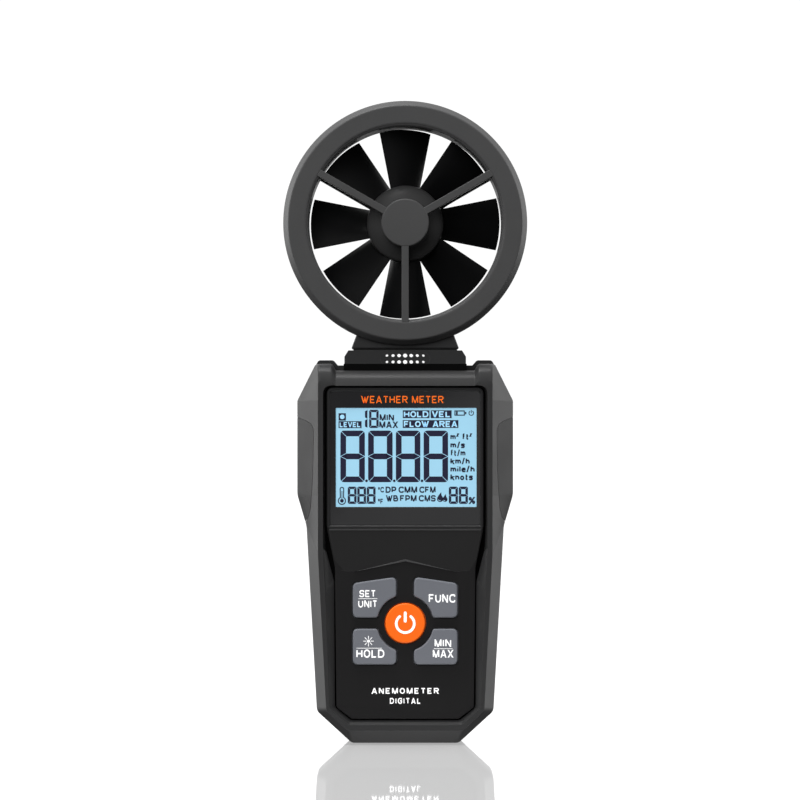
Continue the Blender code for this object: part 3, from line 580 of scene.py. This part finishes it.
def build_head():
    def guard(half, name, shape, look=RING, **edges):
        piece(f"{name}_{half}", shape, look, "grey_rubber", [f"head_{half}_guard"], **edges)

    def spokes(front, back):
        return merged([spoke(degrees, front, back) for degrees in SPOKE_ANGLES])

    guard("front", "guard_ring", moved(guard_ring(-1), z=HEAD_Z), angle=5)
    guard("front", "guard_spokes", spokes(-13.85, -8.2), bevel=0.2)
    cap = turned([(0, -13.95), (7.3, -13.95), (7.62, -13.85), (CAP_RADIUS, -13.55), (CAP_RADIUS, -8.1),
                  (0, -8.1)], 96)
    piece("guard_cap", moved(cap, z=HEAD_Z), RING, "grey_rubber", ["head_front_guard"], angle=60)
    # a near-black band between the ring's halves: painted shade in their seam
    piece("guard_seam_shade", moved(tube(39.5, 32.0, -0.3, 0.3), z=HEAD_Z), GAP_SHADE_BLACK, "rubber_black", angle=60)
    guard("front", "collar", collar(-1), NECK, bevel=0.6)

    holes = []
    for degrees in (90, 210, 330):
        x, z = 35.8 * cos(radians(degrees)), HEAD_Z + 35.8 * sin(radians(degrees))
        holes.append(moved(rod(2.5, 11.7, 16, 32), x=x, z=z))
        screw(f"head_screw_{degrees}", x, z, 2.2, 13.5, 8)
    guard("rear", "guard_ring", cut(moved(guard_ring(1), z=HEAD_Z), *holes), angle=5)
    guard("rear", "guard_spokes", spokes(6.5, 12), bevel=0.3)
    hub = turned([(3.0, 6.3), (9, 6.3), (9, 11.6), (8.3, 12.2), (0, 12.3), (0, 9.6), (3.0, 9.6)], 96)
    guard("rear", "guard_hub", moved(hub, z=HEAD_Z), angle=40)
    guard("rear", "collar", collar(1), NECK, bevel=0.6)


def blade(degrees):
    """One pitched blade: straight edges widening outwards, a thin leading edge and an arc at the tip."""
    stations, chords = 14, 10
    shape = bmesh.new()
    layers = []
    root, tip, half_depth = 11.9, 31.1, 4.2
    for side in (-1, 1):
        grid = []
        for i in range(stations + 1):
            reach = root + (tip - root) * i / stations
            half_chord = 4.6 + 3.5 * (reach - 11.7) / 18
            length = sqrt(half_chord ** 2 + half_depth ** 2)
            row = []
            for k in range(chords + 1):
                t = 2 * k / chords - 1
                thickness = 0.55 * sqrt(max(0.0, 1 - abs(t) ** 4)) + 0.12
                camber = 0.5 * (1 - t * t)
                x = t * half_chord + (side * thickness + camber) * half_depth / length
                y = t * half_depth - (side * thickness + camber) * half_chord / length
                row.append(shape.verts.new((x, y, sqrt(reach ** 2 - x * x))))
            grid.append(row)
        layers.append(grid)
    low, high = layers
    for grid in layers:
        for i in range(stations):
            for k in range(chords):
                shape.faces.new((grid[i][k], grid[i + 1][k], grid[i + 1][k + 1], grid[i][k + 1]))
    rim = [(0, k) for k in range(chords)] + [(i, chords) for i in range(stations)]
    rim += [(stations, k) for k in range(chords, 0, -1)] + [(i, 0) for i in range(stations, 0, -1)]
    for (i, k), (m, n) in zip(rim, rim[1:] + rim[:1]):
        shape.faces.new((low[i][k], low[m][n], high[m][n], high[i][k]))
    return moved(shape, z=HEAD_Z, turn=-degrees)


def build_vane():
    blades = merged([blade(i * 360 / BLADES) for i in range(BLADES)])
    piece("vane_blades", blades, BLADE, "black_plastic", ["impeller"], "vane", angle=50)
    cone = [(7.4, -7.6), (8.6, -7.35), (10.2, -6.5), (11.6, -5.6), (12.3, -4.9), (12.6, -4.2), (12.6, 5.4),
            (12.2, 5.8), (1.35, 5.8), (1.35, -7.6)]
    hub = moved(turned(cone, 128), z=HEAD_Z)
    piece("vane_hub", hub, HUB, "black_plastic", ["impeller"], "vane", angle=35)


# ---- neck

def stadium(half_width, z_low, z_high, steps=12):
    """An outline with round ends, centred on x = 0."""
    radius = (z_high - z_low) / 2
    middle = (z_low + z_high) / 2
    turns = [radians(-90 + 180 * i / steps) for i in range(steps + 1)]
    right = [(half_width - radius + radius * cos(a), middle + radius * sin(a)) for a in turns]
    return mirrored(right)


def build_neck():
    top = neck_high.z
    whole = mirrored([(19.9, neck_low.z), (19.9, 126.4), (18.6, top)])
    # two rows of holes, smaller towards the ends
    vents = []
    for z in (124.75, 126.85):
        for column in range(7):
            radius = 0.72 - 0.09 * abs(column - 3)
            vents.append(moved(rod(radius, -12, 12, 20), x=(column - 3) * 2.0, z=z))
    recess = prism(stadium(8.1, 123.5, 127.75), -12, -NECK_DEPTH + 0.12)
    for half, side in (("front", -1), ("rear", 1)):
        shape = prism(whole, *sorted((side * SEAM, side * NECK_DEPTH)))
        inside = block(-18.3, 18.3, -7.9, 7.9, neck_low.z - 1, 127.6)
        cutters = [inside] + [vent.copy() for vent in vents]
        if side < 0:
            cutters.append(recess)
        piece("neck_" + half, cut(shape, *cutters), NECK, "dark_plastic", [f"neck_{half}_cover"], bevel=0.35,
              segments=2)
    for vent in vents:
        vent.free()
    # near-black strips in the seams at the neck's sides: painted shade
    for name, side in SIDES:
        strip = block(*sorted((side * 18.4, side * 19.5)), -0.3, 0.3, neck_low.z + 1, 126)
        piece("neck_seam_shade_" + name, strip, GAP_SHADE_BLACK, "rubber_black", bevel=0.05, segments=2)
    seal = block(-17.0, 17.0, -8.7, 8.7, top - 0.6, 129.2)
    hollow = block(-14.5, 14.5, -7.4, 7.4, top - 1, 130)
    piece("neck_seal", cut(seal, hollow), BLACK, "rubber_black", bevel=0.1, segments=2)
    # a near-black sleeve where the neck enters the body: painted shade in the gap behind the lip
    neck_shade_sleeve = block(-20.15, 20.15, -9.88, 9.88, 113, 124.05)
    hollow = block(-19.95, 19.95, -9.53, 9.53, 112, 125)
    piece("neck_gap_shade", cut(neck_shade_sleeve, hollow), GAP_SHADE_BLACK, "rubber_black", bevel=0.1, segments=2)


# ---- body

BODY_CORNERS = [2.5, 3.0, 8, 8, 2.0, 1.2, 1.0, 0.5]
MOUTH_CORNERS = [2, 2, 8, 8, 8, 3.0]


def soft_outline(outline, corners=BODY_CORNERS):
    return rounded(outline, corners + corners[::-1])


def body_sections():
    """The body's outer skin from the front edge back to full width: sloping sides, rounded top."""
    face, full = mirrored(FRAME_FACE), mirrored(FRAME_OUTLINE)
    slope, top_radius, shoulder_z = 8.6, 6.2, 112.5
    sections = []
    for step in range(13):
        depth = slope * step / 12
        rise = min(1, depth / top_radius)
        sides = between(face, full, depth / slope)
        tops = between(face, full, sqrt(1 - (1 - rise) ** 2))
        outline = [(side[0], (top if side[1] > shoulder_z else side)[1]) for side, top in zip(sides, tops)]
        sections.append((FRONT + depth, soft_outline(outline)))
    return sections


def annulus(shape, outer, inner):
    edges = []
    for ring in (outer, inner):
        for i in range(len(ring)):
            pair = (ring[i], ring[(i + 1) % len(ring)])
            edges.append(shape.edges.get(pair) or shape.edges.new(pair))
    bmesh.ops.triangle_fill(shape, use_beauty=True, edges=edges)


def frame_shape():
    """The front frame as one closed ring: outer skin, flat front band, sloping mouth and inner wall."""
    shape = bmesh.new()
    outer = [ring_of(shape, outline, y) for y, outline in body_sections()]
    outer.append(ring_of(shape, soft_outline(mirrored(FRAME_OUTLINE)), -SEAM))
    skin(shape, outer)
    edge, foot = (soft_outline(mirrored(half), MOUTH_CORNERS) for half in (MOUTH_EDGE, MOUTH_FOOT))
    seat = soft_outline(grown(mirrored(MOUTH_FOOT), -1.6), MOUTH_CORNERS)
    inner = [ring_of(shape, edge, FRONT), ring_of(shape, between(edge, foot, 0.12), FRONT + 0.5),
             ring_of(shape, foot, -15.9), ring_of(shape, foot, -12.6), ring_of(shape, seat, -12.6),
             ring_of(shape, seat, -SEAM)]
    skin(shape, inner)
    annulus(shape, outer[0], inner[0])
    annulus(shape, outer[-1], inner[-1])
    return shape


def grip_region(side, spread):
    outline = grown(GRIP_REGION, spread)
    return prism(flipped(outline) if side < 0 else outline, -17.6, 9 + spread)


def grooves():
    """What the neck and the grips take out of the body, with a fine gap round the grips."""
    return [block(-20.2, 20.2, -9.9, 9.9, 111, 132), grip_region(-1, 0.1), grip_region(1, 0.1)]


def outer_solid():
    """The whole body's outer form between the front edge and the back bevel."""
    sections = body_sections()
    sections.append((12, sections[-1][1]))
    return loft(sections)


def build_body():
    piece("frame_shell", cut(frame_shape(), *grooves()), RUBBER, "grey_rubber", ["front_frame"], bevel=0.35,
          angle=26)
    foot = soft_outline(mirrored(MOUTH_FOOT), MOUTH_CORNERS)
    silhouette = soft_outline(mirrored(FRAME_OUTLINE))
    # a near-black band behind the frame's edge and one round the panel's foot: painted shade in the gaps
    # there
    seam_shade_band = band(grown(silhouette, -0.5), grown(silhouette, -1.9), 0, 0.6)
    piece("case_seam_shade", cut(seam_shade_band, *grooves()), GAP_SHADE_BLACK, "rubber_black", bevel=0.05, segments=2)
    gap_shade_band = band(grown(foot, -0.05), grown(foot, -1.7), -12.75, 0.2)
    piece("panel_gap_shade", gap_shade_band, GAP_SHADE_BLACK, "rubber_black", bevel=0.05, segments=2)

    full, back = mirrored(SILHOUETTE), mirrored(CASE_FACE)
    sections = [(SEAM, soft_outline(full)), (11, soft_outline(full))]
    for step in range(1, 9):
        turn = step / 8 * pi / 2
        depth = 11 + (BACK - 11) * sin(turn)
        sections.append((depth, soft_outline(between(full, back, 1 - cos(turn)))))
    sections.append((BACK, grown(sections[-1][1], -0.5)))
    shell = loft(sections)
    # the battery bay, the door's seat, the tripod insert's hole and the door screw's
    cutters = [*grooves(), block(-14.3, 14.3, -2.8, 20, 17, 73),
               prism(rounded(rectangle(-17.3, 17.3, 9.3, 78.3), 2.3), 15, 20),
               moved(rod(4.9, 10.2, 20), z=92), moved(rod(1.6, 8, 16, 24), z=13.4)]
    for corner in ("top_left", "top_right", "bottom_left", "bottom_right"):
        low, high = box("case_screw_" + corner)
        x, z = (low.x + high.x) / 2, (low.z + high.z) / 2
        cutters.append(moved(rod(2.9, 9, 20), x=x, z=z))
        screw("case_screw_" + corner, x, z, 2.6, high.y, 10)
    for ridge in range(3):
        for side in (-1, 1):
            x = side * (22.0 + ridge * 2.4)
            cutters.append(block(x - 0.5, x + 0.5, 17.5, 20, 84, 106))
    piece("case_shell", cut(shell, *cutters), CASE, "dark_plastic", ["rear_case"], bevel=0.4, angle=28)

    for name, side in SIDES:
        pad = carve(outer_solid(), ("INTERSECT", grip_region(side, 0)))
        piece(f"grip_pad_{name}", pad, GRIP, "grip_rubber", [f"grip_{name}"], bevel=0.25, angle=28)


# ---- panel and display

KEY_INNER, KEY_OUTER, KEY_ARC = 2.85, 17.05, 9.2


def key_outline(top, side):
    """A grey key's outline, with an arc round the power key at its inner corner."""
    radius = near = 1.8
    start, end = acos(KEY_INNER / KEY_ARC), asin(near / KEY_ARC)
    steps = 20
    turns = [start] + [start - 0.2 + (end - start + 0.4) * i / steps for i in range(steps + 1)] + [end]
    arc = [(KEY_ARC * cos(turn), KEY_ARC * sin(turn)) for turn in turns]
    outer_z, inner_z = (13.0, 15.1) if top else (13.45, 13.45)
    corners = [(KEY_OUTER, near), (KEY_OUTER, outer_z), (KEY_INNER, inner_z)]
    softness = [radius] * 4 + [0] * (steps + 1) + [radius]
    outline = [(x, z + POWER_Z) for x, z in rounded(corners + arc, softness, 6)]
    if not top:
        outline = [(x, 2 * POWER_Z - z) for x, z in reversed(outline)]
    return flipped(outline) if side < 0 else outline


def key_table():
    yield "power_key", circle(6.5, 96, (0, POWER_Z)), POWER, "power_orange"
    for row, top in (("top", True), ("bottom", False)):
        for column, side in SIDES:
            yield f"key_{row}_{column}", key_outline(top, side), KEY, "key_grey"


def build_keys():
    front, edge = box("power_key")[0].y + 0.02, 0.55
    for name, outline, look, slot in key_table():
        sections = []
        for step in range(6, -1, -1):
            turn = step / 6 * pi / 2
            sections.append((front + edge * (1 - sin(turn)), grown(outline, -edge * (1 - cos(turn)))))
        flange = grown(outline, 0.6)
        sections += [(-15.1, outline), (-15.1, flange), (-14.3, flange)]
        piece(name + "_cap", loft(sections), look, slot, [name], name, angle=40)
    y = front - 0.005

    def legend(key, *parts):
        piece(key + "_legend", merged(parts), PRINT, "white_plastic", body=key)

    def word(text, x, z, width, height):
        return letters(text, x, z, height, width, y, weight=0.185, gap=0.17)

    def rule(x_low, x_high, z):
        return bar(x_low, x_high, z - 0.08, z + 0.08, y)

    legend("key_top_left", word("SET", -12.25, 49.25, 5.3, 2.3), rule(-15.3, -9.1, 47.6),
           word("UNIT", -12.2, 45.9, 6.2, 2.35))
    legend("key_top_right", word("FUNC", 11.95, 47.7, 8.6, 2.75))
    sun = [moved(bar(0.7, 1.7, -0.11, 0.11, 0), x=-11.95, y=y, z=33.8, turn=45 * n) for n in range(8)]
    sun.append(flat(circle(0.48, 20, (-11.95, 33.8)), y))
    legend("key_bottom_left", *sun, rule(-15.8, -7.6, 31.5), word("HOLD", -11.35, 29.75, 9.1, 2.7))
    legend("key_bottom_right", word("MIN", 12.25, 33.15, 5.4, 2.4), rule(9.3, 15.4, 31.35),
           word("MAX", 12.3, 29.7, 6.7, 2.5))
    stem = flat([(z, POWER_Z + 2.05 + x) for x, z in stadium(1.8, -0.48, 0.48, 10)], y)
    ring_z, middle = POWER_Z - 0.1, 2.92
    ring = arc_band(0, ring_z, 2.5, 3.34, 128, 412, y, 48)
    ends = [flat(circle(0.42, 20, (middle * cos(radians(a)), ring_z + middle * sin(radians(a)))), y)
            for a in (128, 52)]
    legend("power_key", stem, ring, *ends)


def build_panel():
    corners = [0.8, 0.8, 3, 3, 3, 2.4]
    outline = rounded(mirrored(PANEL_OUTLINE), corners + corners[::-1], 6)
    front = PANEL_FACE
    plate = loft([(front, grown(outline, -0.9)), (front, grown(outline, -0.35)),
                  (front + 0.1, grown(outline, -0.12)), (front + 0.35, outline), (panel_high.y, outline)])
    holes = [prism(grown(ring, 0.33), front - 2, panel_high.y + 2) for _, ring, _, _ in key_table()]
    window = block(-24.3, 24.3, front - 2, panel_high.y + 2, 72.1, 114.7)
    piece("panel_plate", cut(plate, window, *holes), PANEL, "panel", ["face_panel"], bevel=0.12, segments=2,
          angle=35)

    # the bridge's corners: x, z and how far each stands behind the panel's face
    edge = [(24.9, 69.9, -0.10), (22.5, 56.6, 0.04), (16.5, 56.3, -0.12), (0, 60.2, -0.32),
            (-16.5, 56.3, -0.12), (-22.5, 56.6, 0.04), (-24.9, 69.9, -0.10)]
    shape = bmesh.new()
    raised = [shape.verts.new((x, front + y, z)) for x, z, y in edge]
    sunk = [shape.verts.new((x, front + 0.4, z)) for x, z, y in edge]
    skin(shape, [raised, sunk])
    for corners in ((0, 1, 2, 3), (0, 3, 6), (3, 4, 5, 6)):
        shape.faces.new([raised[n] for n in corners])
    shape.faces.new(sunk)
    piece("panel_bridge", shape, PANEL_BRIDGE, "panel", ["face_panel"], bevel=0.25)
    # the chevron's crest and the ledge under the display are lighter than the panel: a painted highlight
    # along these edges
    chevron = [(16.5, 56.3), (0, 60.35), (-16.5, 56.3), (0, 59.7)]
    crest = prism(chevron, front - 0.38, front)
    ledge = ribbon([(-24.7, 70.0), (24.7, 70.0)], 0.22, front - 0.15, 0.3)
    piece("panel_crests", merged([crest, ledge]), PANEL_PAINTED_HIGHLIGHT, "panel", ["face_panel"], bevel=0.1)

    rim_outer = rounded(rectangle(-25.5, 25.5, 70.2, 116.2), [0.8, 2.4, 2.4, 0.8], 8)
    shape = bmesh.new()
    rim_front = panel_low.y - 0.2
    rings = []
    for inset, depth in ((0, 0.8), (0.02, 0.45), (0.12, 0.18), (0.32, 0.03), (0.55, 0.0), (0.8, 0.06),
                         (1.05, 0.2), (1.25, 0.45), (1.28, 1.2), (0.3, 1.2)):
        rings.append(ring_of(shape, grown(rim_outer, -inset), rim_front + depth))
    skin(shape, rings + [rings[0]])
    piece("display_rim", shape, PANEL_RIM, "panel", ["face_panel"], angle=60)


def build_lens():
    outline = rounded(rectangle(-24.35, 24.35, 71.5, 115.1), 0.6, 4)
    window = rounded(rectangle(-22.6, 23.2, 77.4, 109.65), 0.25, 3)
    shape = cut(prism(outline, lens_low.y, lens_high.y), prism(window, lens_low.y - 1, lens_high.y + 1))
    piece("display_window", shape, LENS, "lens", ["display_lens"], bevel=0.12, segments=2)
    face = lens_low.y + 0.35
    glass = prism(grown(window, 0.4), face, lens_high.y + 0.9)
    piece("lcd_face", glass, LCD, "lcd", ["lcd_glass"], bevel=0.1)
    title = letters("WEATHER METER", -0.95, 112.35, 2.35, 26.8, lens_low.y - 0.004, weight=0.15, gap=0.2)
    piece("display_title", title, ORANGE_PRINT, "power_orange")
    build_lcd(face - INK)


def band(outer, inner, y, thickness=INK):
    """A flat band between two outlines of the same number of points."""
    shape = bmesh.new()
    front, back = y - thickness / 2, y + thickness / 2
    corners = ((outer, front), (outer, back), (inner, back), (inner, front))
    rings = [ring_of(shape, outline, depth) for outline, depth in corners]
    skin(shape, rings + rings[:1])
    return shape


def eight(x, z, width, height, stroke, y, line, dark, light):
    """A seven-segment 8, with thin light lines where its segments meet; x and z are its lower left corner."""
    outer = rectangle(x, x + width, z, z + height)
    inner = rectangle(x + stroke, x + width - stroke, z + stroke, z + height - stroke)
    dark.append(band(rounded(outer, stroke * 0.7), rounded(inner, stroke * 0.15), y))
    middle = z + height / 2
    dark.append(bar(x + stroke * 0.9, x + width - stroke * 0.9, middle - stroke / 2, middle + stroke / 2, y))
    for side in (-1, 1):
        edge = x + width / 2 + side * width / 2
        inside = edge - side * stroke
        for end in (-1, 1):
            corner = (edge - side * stroke * 0.15, middle + end * (height / 2 - stroke * 0.15))
            for path in ([corner, (inside, middle + end * (height / 2 - stroke))],
                         [(edge, middle), (inside, middle + end * stroke / 2)]):
                light.append(ribbon(path, line / 2, y - INK))


def one(x, z, height, stroke, y, dark):
    """A seven-segment 1: two upright bars with pointed ends that almost meet."""
    middle, point = z + height / 2, stroke * 0.5
    for low, high in ((z, middle), (middle, z + height)):
        low, high = low + stroke * 0.08, high - stroke * 0.08
        outline = [(x, low + point), (x + stroke, low), (x + stroke, high), (x, high - point)]
        dark.append(flat(outline, y))


def build_lcd(y):
    """Everything the LCD shows: dark figures, words and symbols, and light words in dark boxes."""
    dark, light = [], []

    def word(text, x, z, width, height, weight=0.225):
        dark.append(letters(text, x, z, height, width, y, weight=weight))

    def boxed(text, x_low, x_high, z_low, z_high):
        dark.append(bar(x_low, x_high, z_low, z_high, y))
        light.append(letters(text, (x_low + x_high) / 2, (z_low + z_high) / 2, z_high - z_low - 0.55,
                             x_high - x_low - 0.7, y - INK))

    def row(count, x, step, z, width, height, stroke, line):
        for n in range(count):
            eight(x + step * n, z, width, height, stroke, y, line, dark, light)

    def hollow(outline, stroke):
        dark.append(cut(flat(outline, y), flat(grown(outline, -stroke), y, 1)))

    # the large reading, its decimal points and the level above it
    row(4, -21.1, 9.03, 85.45, 7.95, 16.8, 1.85, 0.13)
    for n in range(1, 4):
        dark.append(flat(circle(0.44, 16, (-21.63 + 9.03 * n, 85.9)), y))
    one(-13.1, 103.1, 5.9, 0.8, y, dark)
    row(1, -11.75, 0, 103.1, 3.1, 5.9, 0.75, 0.08)
    word("MIN", -6.0, 106.5, 4.7, 2.1)
    word("MAX", -5.4, 104.15, 6.1, 2.1)
    for sign in (("LEVEL", -21.7, -14.2, 103.05, 105.3), ("HOLD", -0.8, 7.9, 106.3, 108.85),
                 ("VEL", 8.3, 15.1, 106.3, 108.85), ("FLOW AREA", -0.8, 17.3, 103.1, 105.65)):
        boxed(*sign)

    # the fan, the battery and the power mark
    dark.append(bar(-21.7, -19.3, 105.5, 107.9, y))
    light += [flat(circle(0.75, 20, (-20.5, 106.7)), y - INK), bar(-20.6, -19.9, 106.6, 106.8, y - INK)]
    hollow([(16.0, 107.1), (19.4, 107.1), (19.4, 107.55), (19.9, 107.55), (19.9, 108.3), (19.4, 108.3),
            (19.4, 108.8), (16.0, 108.8)], 0.33)
    dark += [bar(16.5, 17.1, 107.45, 108.45, y), arc_band(21.5, 107.95, 0.6, 0.88, 120, 420, y),
             bar(21.37, 21.63, 107.9, 108.95, y)]

    for text, z, width in (("m² ft²", 100.3, 7.0), ("m/s", 97.6, 4.7), ("ft/m", 95.0, 4.9),
                           ("km/h", 92.35, 6.3), ("mile/h", 89.75, 7.9), ("knots", 87.15, 7.3)):
        word(text, 14.7 + width / 2, z, width, 2.1, 0.25)

    # the temperature, with its thermometer, and the flow's units
    row(3, -18.7, 3.1, 78.4, 2.85, 5.6, 0.78, 0.07)
    dark.append(bar(-12.9, -12.55, 78.45, 78.8, y))
    stem = [(0.75 * cos(radians(a)) - 20.6, 83.2 + 0.75 * sin(radians(a))) for a in range(0, 181, 20)]
    bulb = [(1.35 * cos(radians(a)) - 20.6, 79.4 + 1.35 * sin(radians(a))) for a in range(120, 421, 20)]
    hollow(stem + bulb, 0.34)
    dark += [flat(circle(0.6, 20, (-20.6, 79.4)), y), bar(-20.72, -20.48, 79.9, 82.6, y)]
    word("°C", -7.9, 83.0, 1.9, 1.75)
    word("°F", -8.0, 79.2, 1.7, 1.75)
    for text, x_low, x_high, z in (
            ("DP", -6.4, -2.9, 83.0), ("CMM", -2.2, 3.9, 83.0), ("CFM", 4.6, 9.9, 83.0),
            ("WB", -6.3, -2.3, 80.2), ("FPM", -1.7, 3.7, 80.2), ("CMS", 4.4, 9.9, 80.2)):
        word(text, (x_low + x_high) / 2, z, x_high - x_low, 2.05)

    # the humidity, with its drops
    for x, z, size in ((11.35, 80.0, 1.0), (12.95, 79.85, 0.8)):
        drop = [(cos(radians(a)), sin(radians(a))) for a in range(-215, 36, 10)]
        drop += [(0.45, 1.25), (0.35, 2.2), (-0.35, 1.35)]
        dark.append(flat([(x + size * a, z + size * b) for a, b in drop], y))
        light.append(arc_band(x, z, size * 0.5, size * 0.68, 200, 280, y - INK, 8))
    row(2, 14.2, 3.25, 78.4, 2.95, 5.6, 0.8, 0.07)
    word("%", 21.7, 79.5, 2.1, 2.3)
    piece("lcd_figures", merged(dark), SEGMENT, "black_plastic")
    piece("lcd_light_words", merged(light), REVERSED, "lcd")


def build_titles():
    words = (("ANEMOMETER", 17.55, 21.9), ("DIGITAL", 14.3, 10.0))
    titles = [letters(text, 0, z, 1.9, width, PANEL_FACE - 0.004, weight=0.2, gap=0.3)
              for text, z, width in words]
    piece("panel_title", merged(titles), PRINT, "white_plastic")


# ---- back

def build_back():
    low, high = box("battery_door")
    outline = rounded(rectangle(low.x, high.x, low.z, high.z), 2, 6)
    cutters = [moved(rod(2.8, 16.1, 20), z=13.4), moved(rod(1.6, 14, 17), z=13.4)]
    for z in range(66, 75, 2):
        cutters.append(prism(stadium(8, z - 0.5, z + 0.5), 17.4, 20))
    piece("door_panel", cut(prism(outline, low.y, high.y), *cutters), CASE, "dark_plastic", ["battery_door"],
          "door", bevel=0.35, angle=35)
    screw("battery_door_screw", 0, 13.4, 2.4, box("battery_door_screw")[1].y, 9.5, "door")
    insert_low, insert_high = box("tripod_insert")
    z = (insert_low.z + insert_high.z) / 2
    start, pitch, crest, groove = insert_high.y - 0.3, 0.64, 3.05, 3.3
    profile = [(4.6, insert_low.y), (4.6, start), (4.3, insert_high.y), (3.4, insert_high.y)]
    for turn in range(10):
        y = start - pitch * turn
        profile += [(crest, y), (crest, y - 0.1), (groove, y - 0.35), (groove, y - 0.45)]
    profile.append((crest, insert_low.y))
    piece("tripod_socket", moved(turned(profile), z=z), BRASS, "brass", ["tripod_insert"], angle=40)


INNER_LOOKS = {
    "impeller_shaft": STEEL, "pickup_magnet": STEEL, "front_bearing": BRASS, "rear_bearing": BRASS,
    "head_sensor_board": BOARD, "humidity_board": BOARD, "main_board": BOARD, "humidity_sensor": WHITE,
    "lcd_light_guide": WHITE, "lcd_holder": WHITE, "battery_9v": BATTERY, "battery_lead_red": RED,
}


def dress_inner_nodes():
    """The pieces inside keep their CAD shape and get a finished material."""
    for name, node in frame["nodes"].items():
        if node.hide_render:
            continue
        look = INNER_LOOKS.get(name, BLACK)
        for slot in node.material_slots:
            slot.material = look


# ---- studio

def build_studio():
    floor_shape = bmesh.new()
    bmesh.ops.create_grid(floor_shape, x_segments=4, y_segments=4, size=30)
    floor = placed("floor", meshed("floor", floor_shape))
    floor.location.z = cad_low.z - 0.05 * MM
    look = bpy.data.materials.new("floor_white")
    look.use_nodes = True
    tree = look.node_tree
    tree.nodes.remove(tree.nodes["Principled BSDF"])
    glow = add(tree, "Emission", {"Strength": 0.345})
    matt = add(tree, "BsdfDiffuse", {"Color": (0.20, 0.20, 0.20, 1)})
    gloss = add(tree, "BsdfGlossy", {"Color": (0.58, 0.58, 0.58, 1), "Roughness": 0.03})
    first = add(tree, "AddShader", {0: glow.outputs[0], 1: matt.outputs[0]})
    second = add(tree, "AddShader", {0: first.outputs[0], 1: gloss.outputs[0]})
    fill(tree, tree.nodes["Material Output"], {"Surface": second.outputs[0]})
    floor.data.materials.append(look)
    floor.visible_diffuse = floor.visible_glossy = floor.visible_shadow = False

    # the surroundings: white to the camera, and for light darker in front and below
    world = bpy.data.worlds.new("studio")
    bpy.context.scene.world = world
    world.use_nodes = True
    tree = world.node_tree
    split = add(tree, "SeparateXYZ", {0: add(tree, "TexCoord").outputs["Generated"]})

    def fade(axis, start, end, dark, light):
        ramp = add(tree, "MapRange", {"Value": split.outputs[axis], "From Min": start, "From Max": end,
                                      "To Min": dark, "To Max": light}, interpolation_type="SMOOTHSTEP")
        return ramp.outputs["Result"]

    across, upwards = fade("Y", -0.45, 0.55, 0.30, 1.15), fade("Z", -0.35, -0.02, 0.015, 1.0)
    product = add(tree, "Math", {0: across, 1: upwards}, operation="MULTIPLY")
    ray = add(tree, "LightPath").outputs["Is Camera Ray"]
    seen = add(tree, "Mix", {"Factor": ray, "A": product.outputs[0], "B": 1.05})
    fill(tree, tree.nodes["Background"], {"Strength": seen.outputs[0], "Color": (1, 1, 1, 1)})

    # every lamp but the top one leaves the floor alone, so none is mirrored in it
    lit = bpy.data.collections.new("not_lit")
    lit.objects.link(floor)
    lit.collection_objects[0].light_linking.link_state = "EXCLUDE"
    # each lamp's name, place, target, size and power; the card is what the lens mirrors as a faint diagonal
    aim = Vector((0, 0, 0.12))
    lamps = (("left_box", (-1.1, 0.25, 0.30), aim, 0.8, 6.6),
             ("right_box", (1.1, 0.25, 0.30), aim, 0.8, 5.0),
             ("top_box", (-0.25, -0.20, 1.35), aim, 0.6, 12.0),
             ("front_box", (-0.6, -1.9, 1.1), aim, 1.4, 44.0),
             ("low_box", (0, -0.035, -0.06), Vector((0, -0.015, 0.004)), 0.08, 0.06),
             ("gloss_card", (0.0597, -1.364, 0.0043), Vector((0.0597, 0, 0.0043)), 0.2, 0.065))
    for name, place, target, size, power in lamps:
        light = bpy.data.lights.new(name, "AREA")
        light.size = size
        light.energy = power
        made = placed(name, light)
        made.location = place
        made.rotation_mode = "QUATERNION"
        made.rotation_quaternion = (target - Vector(place)).to_track_quat("-Z", "Y")
        made.visible_camera = False
        if name != "top_box":
            made.light_linking.receiver_collection = lit
        made.visible_glossy = name != "front_box"
        if name == "gloss_card":
            made.rotation_quaternion = made.rotation_quaternion @ Quaternion((0, 0, 1), radians(41.6))


def build_camera():
    """A long lens level with the body, so the front is seen almost without perspective."""
    view_width = 260.1 * MM
    distance, sensor = 1.3, 36
    camera = bpy.data.cameras.new("camera")
    camera.sensor_width = sensor
    camera.lens = sensor * (distance + FRONT * MM) / view_width
    made = placed("camera", camera)
    made.location = (-1.7 * MM, -distance, 112.2 * MM)
    made.rotation_euler = (radians(90), 0, 0)
    bpy.context.scene.camera = made


build_head()
build_vane()
build_neck()
build_body()
build_panel()
build_lens()
build_keys()
build_titles()
build_back()
dress_inner_nodes()
build_studio()
build_camera()
bpy.context.scene.view_settings.view_transform = "Standard"
